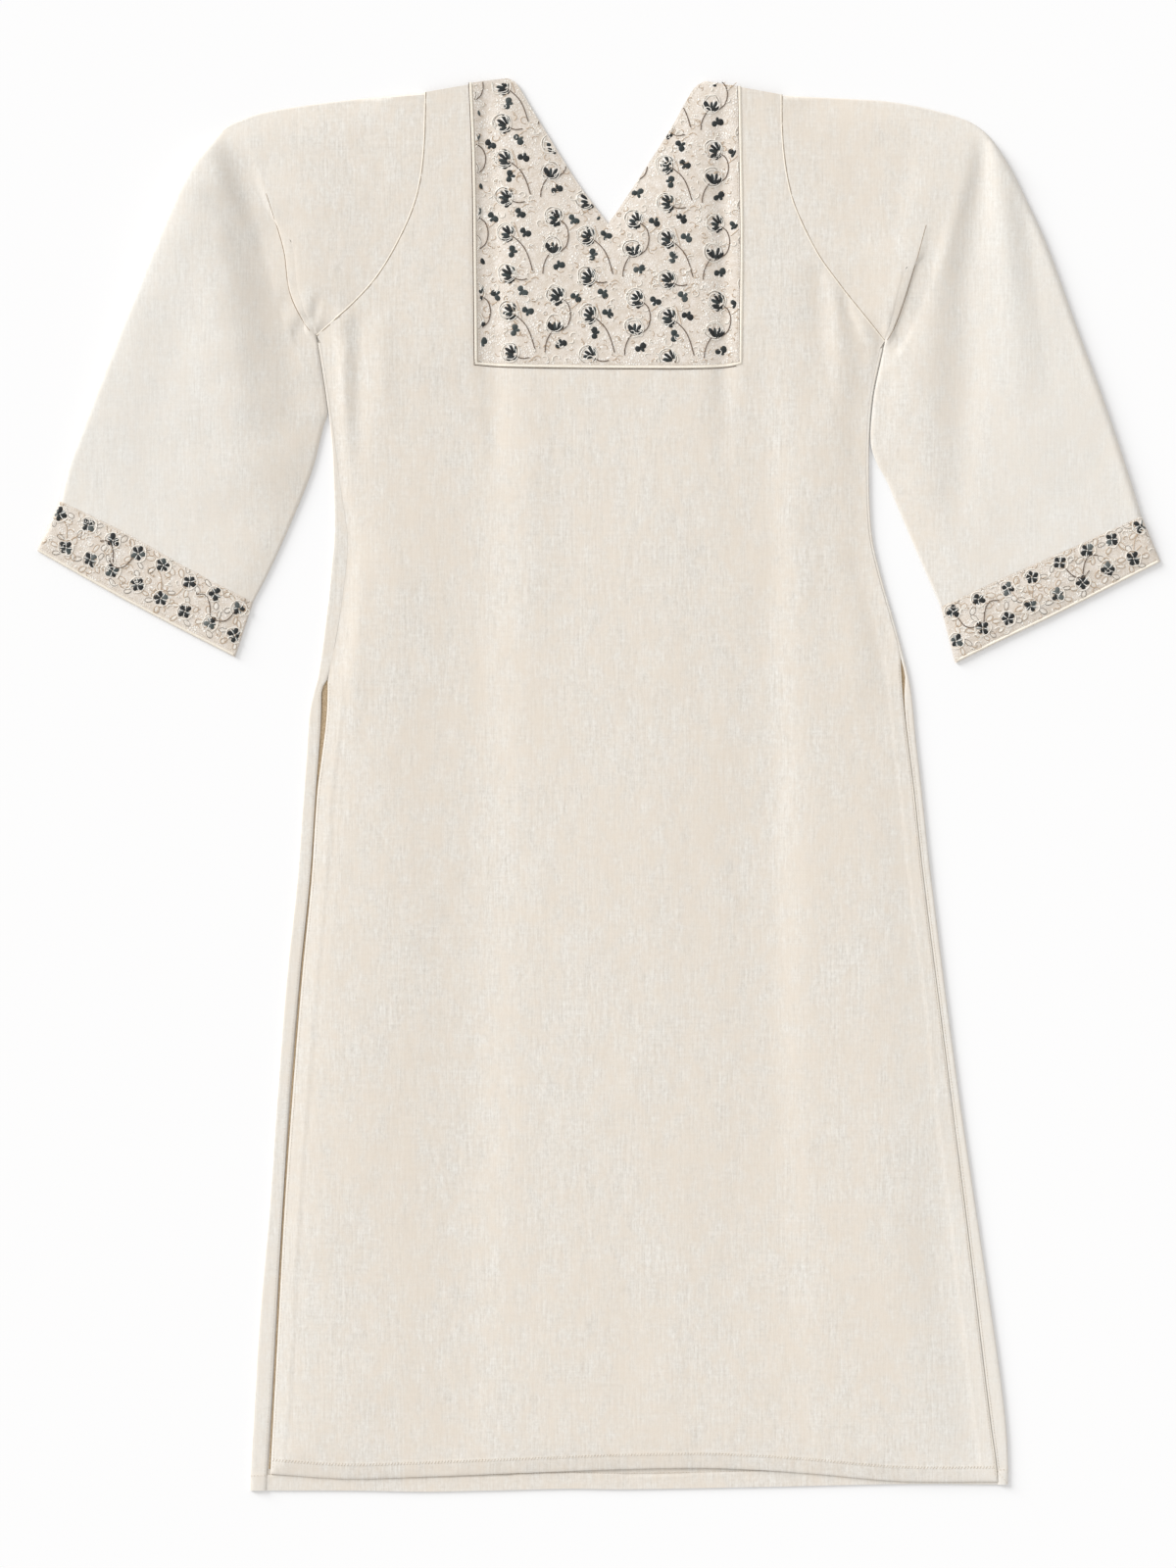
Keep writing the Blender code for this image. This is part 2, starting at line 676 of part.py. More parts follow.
class Sleeve:
    """Places on one flattened sleeve, from the armhole to the cuff seam."""

    def __init__(self, shape):
        armhole = armhole_line(shape["side"])
        self.armhole = Path(armhole, straight=True)
        self.fold = Path((armhole[0], *map(Vector, shape["fold"])))
        self.over = Path((armhole[-1], *map(Vector, shape["over"])))
        self.outer = Path(shape["outer"])
        self.inner = Path((armhole[0], *map(Vector, shape["inner"])))
        self.seam = Path(shape["cuff seam"])
        self.corner = Stretch(self.inner, 0.0, 0.0)
        self.tuck_inner = Stretch(self.inner, 0.0, TUCK_LENGTH)
        self.tuck_outer = Stretch(self.outer, 0.0, TUCK_LENGTH)
        self.rest_inner = Stretch(self.inner, TUCK_LENGTH, self.inner.length())
        self.rest_outer = Stretch(self.outer, TUCK_LENGTH, self.outer.length())

    def past_fold(self, across, distance, laid_open):
        """A place beyond the fold's edge, held to the sleeve's own edges at both ends."""
        place = self.fold.at(across) + self.downward(across) * distance
        share = tuck_share(laid_open)
        at_inner = self.fold.at(0) + self.downward(0) * laid_open
        at_outer = self.fold.at(1) + self.downward(1) * laid_open
        place = place + (self.tuck_inner.at(share) - at_inner) * (1 - across) ** TUCK_FADE
        return place + (self.tuck_outer.at(share) - at_outer) * across ** TUCK_FADE

    def downward(self, across):
        """Unit vector across the fold, towards the cuff."""
        return inward(self.fold, across, self.seam.at(across))

    def tuck_place(self, across, folded, station):
        """Place and extra height at one station of the fold."""
        distance, lift = tuck_profile(folded)[station]
        return self.past_fold(across, distance, open_distances()[station]), lift

    def stations(self):
        """Each ring's name, share and stretch, armhole first."""
        found = [("armhole", i / ARMHOLE_STATIONS) for i in range(ARMHOLE_STATIONS)]
        found += [("tuck", i) for i in range(len(open_distances()))]
        found += [("arm", i / SLEEVE_STATIONS) for i in range(1, SLEEVE_STATIONS + 1)]
        return found

    def place(self, station, across, folded):
        """Place and extra height on the upper layer, or with folded 0 on the lower one."""
        part, step = station
        if part == "tuck":
            return self.tuck_place(across, folded, step)
        if part == "armhole":
            lift = self.tuck_place(across, folded, 0)[1] * smooth_step(step)
            end = lambda share: self.tuck_place(share, folded, 0)[0]
            return patch(self.armhole.at, end, self.corner.at, self.over.at, across, step), lift
        begin = lambda share: self.tuck_place(share, folded, -1)[0]
        return patch(begin, self.seam.at, self.rest_inner.at, self.rest_outer.at, across, step), 0.0

    def edges(self, station):
        """Underarm and upper edge at a station, each with its unit vector into the sleeve."""
        part, step = station
        if part == "armhole":
            inner, outer, share = self.tuck_inner, self.over, step
        elif part == "tuck":
            inner, outer, share = self.tuck_inner, self.tuck_outer, tuck_share(open_distances()[step])
        else:
            inner, outer, share = self.rest_inner, self.rest_outer, step
        middle = self.place(station, 0.5, 0.0)[0] if part == "arm" else self.fold.at(0.5)
        inner_share = 0.0 if part == "armhole" else share
        return [
            (line.at(along), inward(line, along, middle))
            for line, along in ((inner, inner_share), (outer, share))
        ]


def ring_points(upper, lower, edges):
    """One ring of a flattened tube: upper layer, turn, lower layer, turn."""
    (inner, into_inner), (outer, into_outer) = edges
    bend = LOW + NOSE
    points = [(inner + into_inner * bend, HIGH)]
    points += upper
    points.append((outer + into_outer * bend, HIGH))
    points.append((outer + into_outer * LOW, LOW + NOSE))
    points.append((outer + into_outer * bend, LOW))
    points += [(place, LOW) for place in lower]
    points.append((inner + into_inner * bend, LOW))
    points.append((inner + into_inner * LOW, LOW + NOSE))
    return points


def make_tube(name, rings, finish_name, gathered=0):
    """A flattened tube.  The first rings, as many as gathered says, meet at one turn of the edge."""
    sheet = Sheet()
    keys = []
    for number, ring in enumerate(rings):
        turn = (0, len(ring) - 2, len(ring) - 1)
        keys.append([
            ("corner", i) if number < gathered and i in turn else (number, i)
            for i in range(len(ring))
        ])
        for key, (place, height) in zip(keys[-1], ring):
            if key not in sheet.index:
                sheet.put(key, place, height)
    for first, second in zip(keys, keys[1:]):
        sheet.join(first, second, closed=True)
    return make_cloth(name, sheet, finish_name)


def make_sleeve(name, shape):
    sleeve = Sleeve(shape)
    rings = []
    for station in sleeve.stations():
        upper = []
        for across, folded in TUCK[1:-1]:
            place, lift = sleeve.place(station, across, folded)
            base = sleeve.fold.at(across) if station[0] == "tuck" else place
            upper.append((place, upper_height(base) + lift))
        lower = [sleeve.place(station, across, 0.0)[0] for across in LOWER_SHARES]
        rings.append(ring_points(upper, lower, sleeve.edges(station)))
    return make_tube(name, rings, "linen", gathered=ARMHOLE_STATIONS + 1)


def make_cuff(name, shape):
    seam, hem = Path(shape["cuff seam"]), Path(shape["cuff hem"])
    inner, outer = Path((seam.at(0), hem.at(0))), Path((seam.at(1), hem.at(1)))
    first = SEAM_GAP / (hem.at(0.5) - seam.at(0.5)).length
    rings = []
    for i in range(CUFF_STATIONS + 1):
        share = first + (1 - first) * i / CUFF_STATIONS
        middle = seam.at(0.5).lerp(hem.at(0.5), share)
        upper = [seam.at(across).lerp(hem.at(across), share) for across, _ in TUCK[1:-1]]
        lower = [seam.at(across).lerp(hem.at(across), share) for across in LOWER_SHARES]
        edges = [(line.at(share), inward(line, share, middle)) for line in (inner, outer)]
        rings.append(ring_points([(place, upper_height(place)) for place in upper], lower, edges))
    return make_tube(name, rings, "embroidered")


# ---------------------------------------------------------------- the garment

def clear_scene():
    for thing in list(bpy.data.objects):
        bpy.data.objects.remove(thing, do_unlink=True)


def main():
    clear_scene()
    make_back()
    make_front()
    make_yoke()
    make_piping()
    for side, shape in (("right", RIGHT_SLEEVE), ("left", LEFT_SLEEVE)):
        make_sleeve("sleeve_" + side, shape)
        make_cuff("cuff_" + side, shape)


main()
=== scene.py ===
"""Kurta tunic in slubbed linen, lying flat on its back: cloth, folds, seams, stitches and embroidery.

+X is the wearer's left, +Y runs from hem to neck and +Z is up.  Tables and sizes are in
millimetres; the meshes are in metres.
"""

import bisect
import itertools
import math
import random

import bpy
import numpy as np
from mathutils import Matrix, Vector, noise


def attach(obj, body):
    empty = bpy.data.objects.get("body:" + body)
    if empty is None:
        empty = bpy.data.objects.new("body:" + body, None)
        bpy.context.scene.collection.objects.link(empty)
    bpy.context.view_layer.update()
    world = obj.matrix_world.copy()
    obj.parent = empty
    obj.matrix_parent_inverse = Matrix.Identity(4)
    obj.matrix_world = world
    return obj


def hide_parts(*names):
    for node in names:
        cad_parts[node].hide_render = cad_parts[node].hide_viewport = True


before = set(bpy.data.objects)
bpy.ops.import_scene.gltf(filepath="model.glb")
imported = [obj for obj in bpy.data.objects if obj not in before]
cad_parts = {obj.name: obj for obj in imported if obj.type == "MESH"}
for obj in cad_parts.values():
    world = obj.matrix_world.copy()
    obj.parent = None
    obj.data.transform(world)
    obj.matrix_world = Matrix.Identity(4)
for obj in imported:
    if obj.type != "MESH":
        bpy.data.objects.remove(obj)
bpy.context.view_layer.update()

# ---- driving sizes, in millimetres

MM = 0.001
LINEN = 0.7  # thickness of the cloth
HEM = 1.3  # thickness where it is turned and sewn down
HEM_EDGE = 0.8  # and at its pressed edge
LOW = 0.5  # middle of cloth that rests on the surface
LAYER = 1.3  # from the middle of one layer to the next
HIGH = LOW + LAYER
NOSE = LAYER / 2  # bend radius where cloth turns over on itself
HEM_WIDTH = 12.5
HEM_LIFT = 0.55  # the front's hem lies on the back's
YOKE_LIFT = 0.74  # from the front's middle to the yoke's
YOKE_SINK = 0.6  # how far the front dips under the yoke
YOKE_BORDER = 3.0  # width of the dip's slope, outside the yoke

CROWN = 2.1  # how far the upper layer stands up away from its edges
CROWN_REACH = 14.0
CROWN_POWER = 1.5
ROLL = 0.35  # how far cloth turns down at its edge
SEAM_ROLL = 0.12  # and beside a seam
ROLL_REACH = 1.6
LEVEL_REACH = 34.0  # how much gentler the crown falls towards the wearer's left slit
LEVEL_EDGE_RISE = 0.10  # and how much of it is left there
LEVEL_FULL = 120.0  # it falls so gently below this level
LEVEL_FADE = 200.0  # and less and less over this length above it
LIP = 0.2  # the front's edge curls up there
LIP_REACH = 3.0
CRISP_REACH = 2.0  # the sleeves stand up steeply at their outer edges
SLEEVE_LIP = 0.7  # and the wearer's left one a little more
SLEEVE_LIP_REACH = 9.0
PUCKER = 0.28  # small waves of the cloth beside a seam
PUCKER_REACH = 7.0
PUCKER_WAVES = (5.5, 5.5, 2.9)
#    height, wavelength across and along, seed
SOFT_WAVES = ((0.16, 16.0, 42.0, 1.7), (0.28, 44.0, 130.0, 8.1), (0.05, 7.0, 11.0, 4.4))
HEM_WAVE = 0.3  # height of the waves along the front's hem stitches
HEM_WAVE_REACH = 9.0
HEM_WAVES = (11.0, 40.0, 6.0)
HEM_LIFT_FROM = 4.0  # the hem's lift is lost from this far inside its edge
HEM_LIFT_OVER = 26.0  # over this length
HEM_STEP = 0.08  # the turned hem stands this much above the single cloth
HEM_STEP_WIDTH = 2.0
HEM_STEP_IN = 1.5
SIDE_SEAM = 4.0  # width beside a side seam that isn't rolled down
SLIT_CLOSING = 14.0  # length over which a side seam closes above its slit
SLIT_CLOSING_FROM = 2.0
PRESSED_EDGE = 0.4  # width of a hem's pressed edge
NECK_SETBACK = 1.5  # back neckline hidden behind the front one
ARMHOLE_GAP = 0.06  # between an armhole and its sleeve

GRID = 5.5  # spacing of the body's points
FRONT_COLUMNS = 50
BACK_COLUMNS = 26
STRIP_START = 3  # fine steps that the turned-over strip takes the place of
FINE_STEPS = (0, 0.7, 1.8, 3.5, 6, 9, 11, 12.5, 14, 17, 21)  # from a free edge
HEM_FADE = 80.0  # rows of points follow the hem's curve up to here
YOKE_GRID = 3.0
YOKE_COLUMNS = 40
YOKE_FADE = 30.0
STRIP_GRAIN = 40.0  # turned-over cloth lies this far off on the weave
UNDER_GRAIN = 600.0  # and a tube's lower layer this far
SHARP_FROM = 60.0  # degrees between faces that look like an edge

PIPING_WIDTH = 2.6
PIPING_FLAT = 0.56  # its height as a share of its width
PIPING_OUT = 1.6  # the piping's middle, outside the yoke's edge
DITCH_OUT = 3.15  # brown thread outside the piping, on the wearer's right and below
DITCH_IN = 0.2  # and inside it from this place on
DITCH_TURN = 116.0

# The sleeve's fold, along the cloth: a start, a run that turns twice, an end.
TUCK_NOSE = 0.42  # its bend radius
TUCK_LIFT = 4 * TUCK_NOSE
TUCK_RUN = 8.0
TUCK_OVERLAP = (1.0, 7.0)
TUCK_BACK = 3.0
TUCK_FRONT = 5.0
TUCK_LENGTH = TUCK_BACK + TUCK_RUN + TUCK_FRONT
TUCK_STEPPED = 0.25  # folded this much it is a slope, and from TUCK_UPRIGHT on a whole fold
TUCK_UPRIGHT = 0.5
TUCK_ARC = (90, 60, 30, 0, -30, -60, -90)
TUCK_FADE = 30  # how quickly it gives way to the sleeve's own edges
ARMHOLE_STEPS = 24
ARMHOLE_STATIONS = 30
SLEEVE_STATIONS = 80
CUFF_STATIONS = 16
SLEEVE_COLUMNS = 46
LOWER_COLUMNS = 12
GATHER = 0.6  # how much points crowd together at a tube's edges
LOWER_GATHER = 0.3
YOKE_GATHER = 0.5
ROUTE_STEP = 3.0  # from place to place along a line
NEARBY = 0.025  # share of an edge on each side that its direction is read from

# ---- outline tables, in millimetres

# Body sides, hem to underarm.
BACK_EDGE, TURNED_EDGE, FRONT_EDGE = 1, 2, 3
#      along   back edge  turned-over edge  front edge
RIGHT_SIDE = (
    (-590, -292, -278.5, -275),
    (-576, -291.5, -278, -274.5),
    (-524, -288.5, -274.5, -271.8),
    (-450, -284, -270.5, -267.8),
    (-352, -275.5, -264.5, -262.5),
    (-253, -268.5, -258.5, -255.5),
    (-155, -260.5, -249.8, -247.5),
    (-81, -252.5, -242, -240.3),
    (-7, -247, -237, -235.4),
    (26, -244.5, -234.4, -231.2),
    (46, -243.4, -233, -228.6),
    (62, -241.9, -232.4, -227.2),
    (80.5, -237.8, -231.6, -226.6),
    (89, -235.2, -227, -226.5),
    (124, -230, -219.5, -219.3),
    (154, -226.5, -214.8, -214.7),
    (185, -223.3, -211, -210.9),
    (209, -221.3, -210.3, -210.2),
    (259, -222, -217.5, -217.4),
    (294, -224, -221.6, -221.5),
    (339, -230, -227.7, -227.6),
    (376, -236, -233.7, -233.6),
)
LEFT_SIDE = (
    (-585, 342.3, 334, 333.55),
    (-565, 342.2, 332.3, 331.85),
    (-540, 341, 328.8, 328.35),
    (-491, 335.5, 322.8, 322.35),
    (-368, 317.5, 308.3, 307.85),
    (-245, 299.5, 292.8, 292.35),
    (-73, 277.5, 271.2, 270.75),
    (1, 269.5, 263.2, 262.75),
    (45, 264.5, 257.9, 257.25),
    (66, 262.7, 256, 255),
    (78, 261.2, 255.9, 253.9),
    (90, 259.2, 256.6, 253.1),
    (98, 257.4, 255.1, 252.6),
    (107, 255, 252.4, 252.1),
    (140, 246, 243.6, 243.5),
    (173, 236.5, 234.1, 234),
    (209, 228.5, 226.1, 226),
    (259, 226, 223.6, 223.5),
    (303, 227, 224.6, 224.5),
    (330, 230, 227.6, 227.5),
    (371, 239, 236.6, 236.5),
)

# Armhole seams, underarm to shoulder.
#      across  along
RIGHT_ARMHOLE = ((-236, 376), (-209, 400), (-186, 425), (-166, 459), (-153, 491), (-147, 526), (-145, 579))
LEFT_ARMHOLE = (
    (239, 371), (218.5, 396), (199.5, 420), (181.5, 446),
    (163.5, 484), (156.5, 512), (153, 545), (152.5, 577),
)

# Neckline, lower point of the V to shoulder.
NECK_POINT = (8, 469)
RIGHT_NECK = (NECK_POINT, (-16, 501), (-37, 534), (-57, 567), (-70, 588), (-76, 591))
LEFT_NECK = (NECK_POINT, (19, 485), (40, 517), (61, 550), (80, 583), (89, 588.5))

# Centre line and yoke edges, hem to shoulder.
CENTRE_LINE = ((12, -590), (11, 351), NECK_POINT)
RIGHT_YOKE_EDGE = ((-101, 354), (-102, 457), (-103, 525), (-105.5, 588))
LEFT_YOKE_EDGE = ((117, 354), (118, 457), (117, 532), (116, 585))
YOKE_BOTTOM = (
    (-101, 354), (-80, 352.4), (-58, 351.8), (-20, 351.2), (11, 351), (60, 350.8),
    (92, 351.2), (108, 352.4), (117, 354),
)

# Hems, right to left.
FRONT_HEM = (
    (-275, -576), (-212, -580), (-163, -579), (-58, -575), (17, -572),
    (90, -571), (138, -573), (181, -576), (252, -582), (332.3, -582.5),
)
BACK_HEM = (
    (-292, -590), (-210, -590), (-148, -591), (-91, -590), (-24, -588.5),
    (20, -589), (138, -587), (261, -584.5), (342.3, -585),
)

# Sleeves.  The fold line is the visible edge of the tuck that starts at the underarm.
RIGHT_SLEEVE = {
    "fold": ((-245, 385), (-255, 403), (-259.5, 418), (-263, 446), (-273, 480), (-288, 525), (-297, 557)),
    "over": ((-200, 574), (-255, 567), (-286, 561), (-297, 557)),
    "outer": (
        (-297, 557), (-312, 550), (-329, 534), (-344, 515), (-359, 485),
        (-380, 435), (-406, 370), (-431, 304), (-444, 268), (-451, 238),
    ),
    "inner": (
        (-230.25, 339), (-227.5, 320), (-226.8, 310), (-230, 300),
        (-240, 262), (-260, 213), (-276, 178), (-289, 153),
    ),
    "cuff seam": ((-289, 153), (-345, 182), (-390, 208), (-451, 238)),
    "cuff hem": ((-304, 107), (-355, 133), (-406, 160), (-470, 196)),
}
LEFT_SLEEVE = {
    "fold": ((246, 381), (252.5, 397), (262, 427), (273, 467), (280, 490), (288, 516), (297, 560)),
    "over": ((182, 575.5), (212, 574), (241, 572), (270, 567), (297, 560)),
    "outer": (
        (297, 560), (312, 554), (327, 542), (344, 517), (360, 485),
        (375, 452), (399, 386), (423, 321), (445, 255), (454, 225),
    ),
    "inner": (
        (230.25, 330), (228.3, 314), (227.2, 302), (226.8, 291), (228, 281),
        (232.8, 268), (241, 253), (248.8, 234.5), (258, 212.9), (267, 192), (286, 149),
    ),
    "cuff seam": ((286, 149), (340, 174), (398, 199.5), (454, 225)),
    "cuff hem": ((298, 102), (338, 121.5), (379, 141), (470, 187)),
}

# The sleeve's tuck across the sleeve, underarm to shoulder.
#   share across, how far it is folded
TUCKS = {
    "right": (
        (0, 0), (0.03, 0.16), (0.06, 0.32), (0.09, 0.5), (0.13, 0.75), (0.18, 1), (0.27, 1),
        (0.36, 0.85), (0.45, 0.62), (0.55, 0.36), (0.66, 0.2), (0.78, 0.1), (0.89, 0.04), (1, 0),
    ),
    "left": (
        (0, 0), (0.03, 0.18), (0.06, 0.36), (0.09, 0.56), (0.13, 0.8), (0.18, 1), (0.27, 0.9),
        (0.32, 0.56), (0.38, 0.26), (0.44, 0.1), (0.5, 0.03), (0.58, 0), (0.8, 0), (1, 0),
    ),
}

# Soft folds of the upper layer.  A trough has a negative height.  Lean is the share of a fold's
# width on its -X side; every fold starts and ends at no height.
#   lean   points of its line: across, along, height, width
FOLDS = (
    # body: the two long troughs below the yoke's corners
    (0.66, (-98, 385, 0, 20), (-97, 330, -1.3, 34), (-103, 150, -1.7, 40), (-100, -60, -1.5, 42),
     (-106, -300, -1.3, 40), (-112, -545, -0.8, 40), (-112, -600, 0, 40)),
    (0.74, (134, 390, 0, 16), (136, 330, -1, 26), (140, 180, -1.5, 32), (143, 0, -1.8, 34),
     (146, -180, -1.6, 34), (152, -360, -1.1, 36), (158, -540, -0.5, 40), (158, -600, 0, 40)),
    (0.5, (-58, 350, 0, 16), (-60, 260, 0.9, 18), (-64, 60, 0.6, 24), (-70, -300, 0.4, 30),
     (-70, -560, 0, 30)),
    (0.35, (166, 360, 0, 14), (168, 240, 0.5, 18), (172, 0, 0.6, 22), (176, -200, 0.4, 26),
     (190, -520, 0, 30)),
    (0.45, (-168, 300, 0, 30), (-178, 120, 0.9, 36), (-190, -160, 0.9, 44), (-202, -470, 0.6, 44),
     (-204, -590, 0, 44)),
    (0.5, (26, 330, 0, 50), (22, 120, 0.7, 66), (18, -240, 0.6, 70), (14, -560, 0, 60)),
    (0.55, (212, 130, 0, 26), (226, -80, 0.7, 34), (246, -330, 0.7, 34), (262, -560, 0, 30)),
    (0.7, (276, -260, 0, 16), (298, -420, -1.1, 24), (316, -540, -0.9, 20), (322, -590, 0, 16)),
    # yoke: a trough along each side
    (0.34, (-96, 590, 0, 7), (-95, 560, -2.2, 9), (-94, 460, -3, 10), (-93, 372, -2.8, 10),
     (-91, 335, -1.5, 9), (-89, 290, -0.8, 8), (-88, 246, 0, 8)),
    (0.56, (102, 588, 0, 6), (103, 550, -1.6, 8), (104, 460, -2.2, 8), (105, 380, -2.1, 8),
     (105, 338, -1.3, 8), (106, 295, -0.7, 8), (107, 250, 0, 8)),
    # body: short soft creases
    (0.5, (-230, 397, 0, 7), (-214, 386, 2.6, 7), (-213, 330, 3, 7), (-212, 250, 1.4, 8), (-212, 180, 0, 8)),
    (0.6, (-206, 410, 0, 7), (-204, 380, -1.6, 9), (-203, 320, -1.6, 10), (-200, 250, 0, 10)),
    (0.4, (-182, 404, 0, 6), (-181, 378, 1.2, 7), (-180, 340, 0.9, 8), (-178, 290, 0, 8)),
    (0.6, (-206, 260, 0, 8), (-202, 170, 0.8, 9), (-204, 90, 1, 9), (-210, 20, 0, 9)),
    (0.65, (176, 440, 0, 5), (184, 424, -1, 8), (186, 396, -1.3, 9), (190, 350, -0.7, 11),
     (196, 300, 0, 12)),
    (0.45, (190, 436, 0, 4), (198, 412, 0.9, 6), (200, 370, 0.9, 7), (206, 310, 0, 8)),
    (0.7, (197, 424, 0, 4), (208, 398, -1.5, 6), (222, 360, -1.5, 6), (226, 340, 0, 6)),
    (0.3, (214, 400, 0, 4), (224, 380, 0.8, 5), (229, 350, 0.9, 5), (229, 300, 0, 6)),
    (0.6, (208, 350, 0, 8), (214, 310, -0.9, 10), (216, 260, 0, 10)),
    (0.5, (208, 198, 0, 6), (222, 173, -1.5, 7), (234, 130, -1.8, 7), (245, 91, -1.8, 7),
     (251, 78, -1.4, 7), (257, 48, 0, 6)),
    (0.5, (204, 170, 0, 12), (214, 110, 0.8, 14), (226, 40, 0, 14)),
    # wearer's right sleeve
    (0.62, (-310, 558, 0, 16), (-319, 526, 4.4, 24), (-321, 493, 6.4, 31), (-319, 452, 7.8, 33),
     (-314, 411, 8.2, 37), (-308, 370, 7.6, 40), (-302, 329, 6, 43), (-294, 280, 3.2, 44),
     (-284, 220, 0, 40)),
    (0.5, (-322, 540, 0, 18), (-342, 500, 3.6, 24), (-362, 452, 5, 28), (-378, 405, 4.6, 30),
     (-392, 360, 3.4, 32), (-408, 310, 1.8, 34), (-424, 250, 0, 30)),
    (0.55, (-296, 546, 0, 6), (-285, 500, -1, 10), (-277, 452, -1.3, 13), (-270, 411, -1.4, 14),
     (-260, 370, -1.4, 15), (-252, 330, -1, 16), (-248, 280, 0, 17)),
    (0.9, (-274, 484, 0, 3), (-265, 450, -1.6, 3.4), (-261, 420, -2.1, 4), (-253, 396, -2.1, 4.4),
     (-241, 381, -2, 5), (-232, 374, 0, 5)),
    (0.5, (-233, 412, 0, 4), (-236, 399, -1.2, 5), (-239, 386, -1.6, 5), (-239, 376, 0, 5)),
    (0.6, (-330, 350, 0, 12), (-324, 300, -0.6, 14), (-318, 240, 0, 14)),
    (0.5, (-348, 420, 0, 20), (-368, 330, 0.5, 26), (-384, 240, 0, 26)),
    # wearer's left sleeve
    (0.54, (311, 552, 0, 6), (303, 526, 1.6, 11), (294, 493, 2.4, 15), (287, 452, 2.3, 17),
     (280, 411, 2.1, 19), (275, 370, 1.7, 21), (272, 329, 1.3, 22), (275, 270, 0.8, 20), (282, 210, 0, 16)),
    (0.52, (320, 552, 0, 6), (319, 526, -1.7, 9), (317, 493, -2, 12), (311, 452, -2, 14),
     (307, 411, -2, 16), (306, 329, -1.8, 17), (302, 260, -1.1, 14), (298, 190, 0, 12)),
    (0.42, (328, 556, 0, 6), (332, 526, 1.7, 10), (339, 480, 2.6, 13), (345, 430, 2.6, 16),
     (352, 370, 2.1, 21), (358, 300, 1, 26), (366, 220, 0, 26)),
    (0.7, (344, 540, 0, 6), (354, 493, -0.9, 8), (362, 430, -1.2, 12), (370, 370, -0.8, 14),
     (380, 300, 0, 14)),
    (0.12, (275, 470, 0, 6), (268, 440, -0.9, 9), (261, 412, -1.4, 11), (252, 390, -1.6, 10),
     (240, 368, 0, 8)),
    (0.5, (390, 380, 0, 20), (404, 310, 0.5, 24), (414, 240, 0, 24)),
)

# ---- lines


class Path:
    """A smooth line through a few points, read by its share of the length or by its place along Y or X."""

    STEPS = 12

    def __init__(self, points, straight=False):
        knots = [Vector(point) for point in points]
        self.points = [knots[0]]
        if straight:
            self.points = knots
        else:
            for i in range(len(knots) - 1):
                self.points += self._span(knots, i)
        self.reach = [0.0]
        for a, b in zip(self.points, self.points[1:]):
            self.reach.append(self.reach[-1] + (b - a).length)

    def _tangent(self, knots, i):
        """The way the line runs through a knot."""
        before = knots[max(i - 1, 0)]
        after = knots[min(i + 1, len(knots) - 1)]
        here = knots[i]
        run = (here - before).length + (after - here).length
        return (after - before) / run

    def _span(self, knots, i):
        """Points of the smooth curve between two knots."""
        a, b = knots[i], knots[i + 1]
        length = (b - a).length
        start = self._tangent(knots, i) * length
        end = self._tangent(knots, i + 1) * length
        found = []
        for step in range(1, self.STEPS + 1):
            t = step / self.STEPS
            u = 1 - t
            place = a * (u * u * (1 + 2 * t)) + b * (t * t * (3 - 2 * t))
            found.append(place + start * (t * u * u) - end * (t * t * u))
        return found

    def length(self):
        return self.reach[-1]

    def at(self, share):
        """The point at a share of the length."""
        wanted = min(max(share, 0.0), 1.0) * self.reach[-1]
        i = min(max(bisect.bisect_left(self.reach, wanted), 1), len(self.reach) - 1)
        span = self.reach[i] - self.reach[i - 1]
        return self.points[i - 1].lerp(self.points[i], (wanted - self.reach[i - 1]) / span)

    def _read(self, known, wanted, values):
        if known[0] > known[-1]:
            known, values = known[::-1], values[::-1]
        return np.interp(wanted, known, values)

    def across(self, along):
        """X at one or more Y, on a line that runs one way along Y."""
        return self._read([p.y for p in self.points], along, [p.x for p in self.points])

    def along(self, across):
        """Y at one or more X, on a line that runs one way along X."""
        return self._read([p.x for p in self.points], across, [p.y for p in self.points])


def smooth_step(value):
    """0 below 0, 1 above 1, and smooth between."""
    t = np.clip(value, 0.0, 1.0)
    return t * t * (3 - 2 * t)


def bell(distance, reach):
    """1 at no distance, falling to nothing on both sides."""
    return np.exp(-((distance / reach) ** 2))


def heading(turn):
    """Unit vector at an angle in radians."""
    return Vector((math.cos(turn), math.sin(turn)))


def side_path(table, column):
    """One column of a side's table, as a line."""
    return Path([(row[column], row[0]) for row in table])


SIDES = {
    "right": {
        "out": -1.0, "side": RIGHT_SIDE, "armhole": RIGHT_ARMHOLE,
        "neck": RIGHT_NECK, "yoke": RIGHT_YOKE_EDGE,
        "levels": (88.0, 376.0, 465.0, 579.0), "yoke levels": (354.0, 464.0, 587.0),
    },
    "left": {
        "out": 1.0, "side": LEFT_SIDE, "armhole": LEFT_ARMHOLE,
        "neck": LEFT_NECK, "yoke": LEFT_YOKE_EDGE,
        "levels": (107.0, 371.0, 465.0, 577.0), "yoke levels": (354.0, 464.0, 584.0),
    },
}
SLEEVES = {"right": RIGHT_SLEEVE, "left": LEFT_SLEEVE}

# ---- heights


def path_route(points, start=0.0, end=1.0, step=ROUTE_STEP):
    """Places along part of a smooth line."""
    path = Path(points)
    count = max(int(path.length() * (end - start) / step), 2)
    return [tuple(path.at(start + (end - start) * i / count)) for i in range(count + 1)]


def edge_points(lines):
    """Places along some lines, as an array."""
    return np.array([place for line in lines for place in path_route(line)])


def edge_line(table):
    """The front's edge in a side's table."""
    return [(row[FRONT_EDGE], row[0]) for row in table]


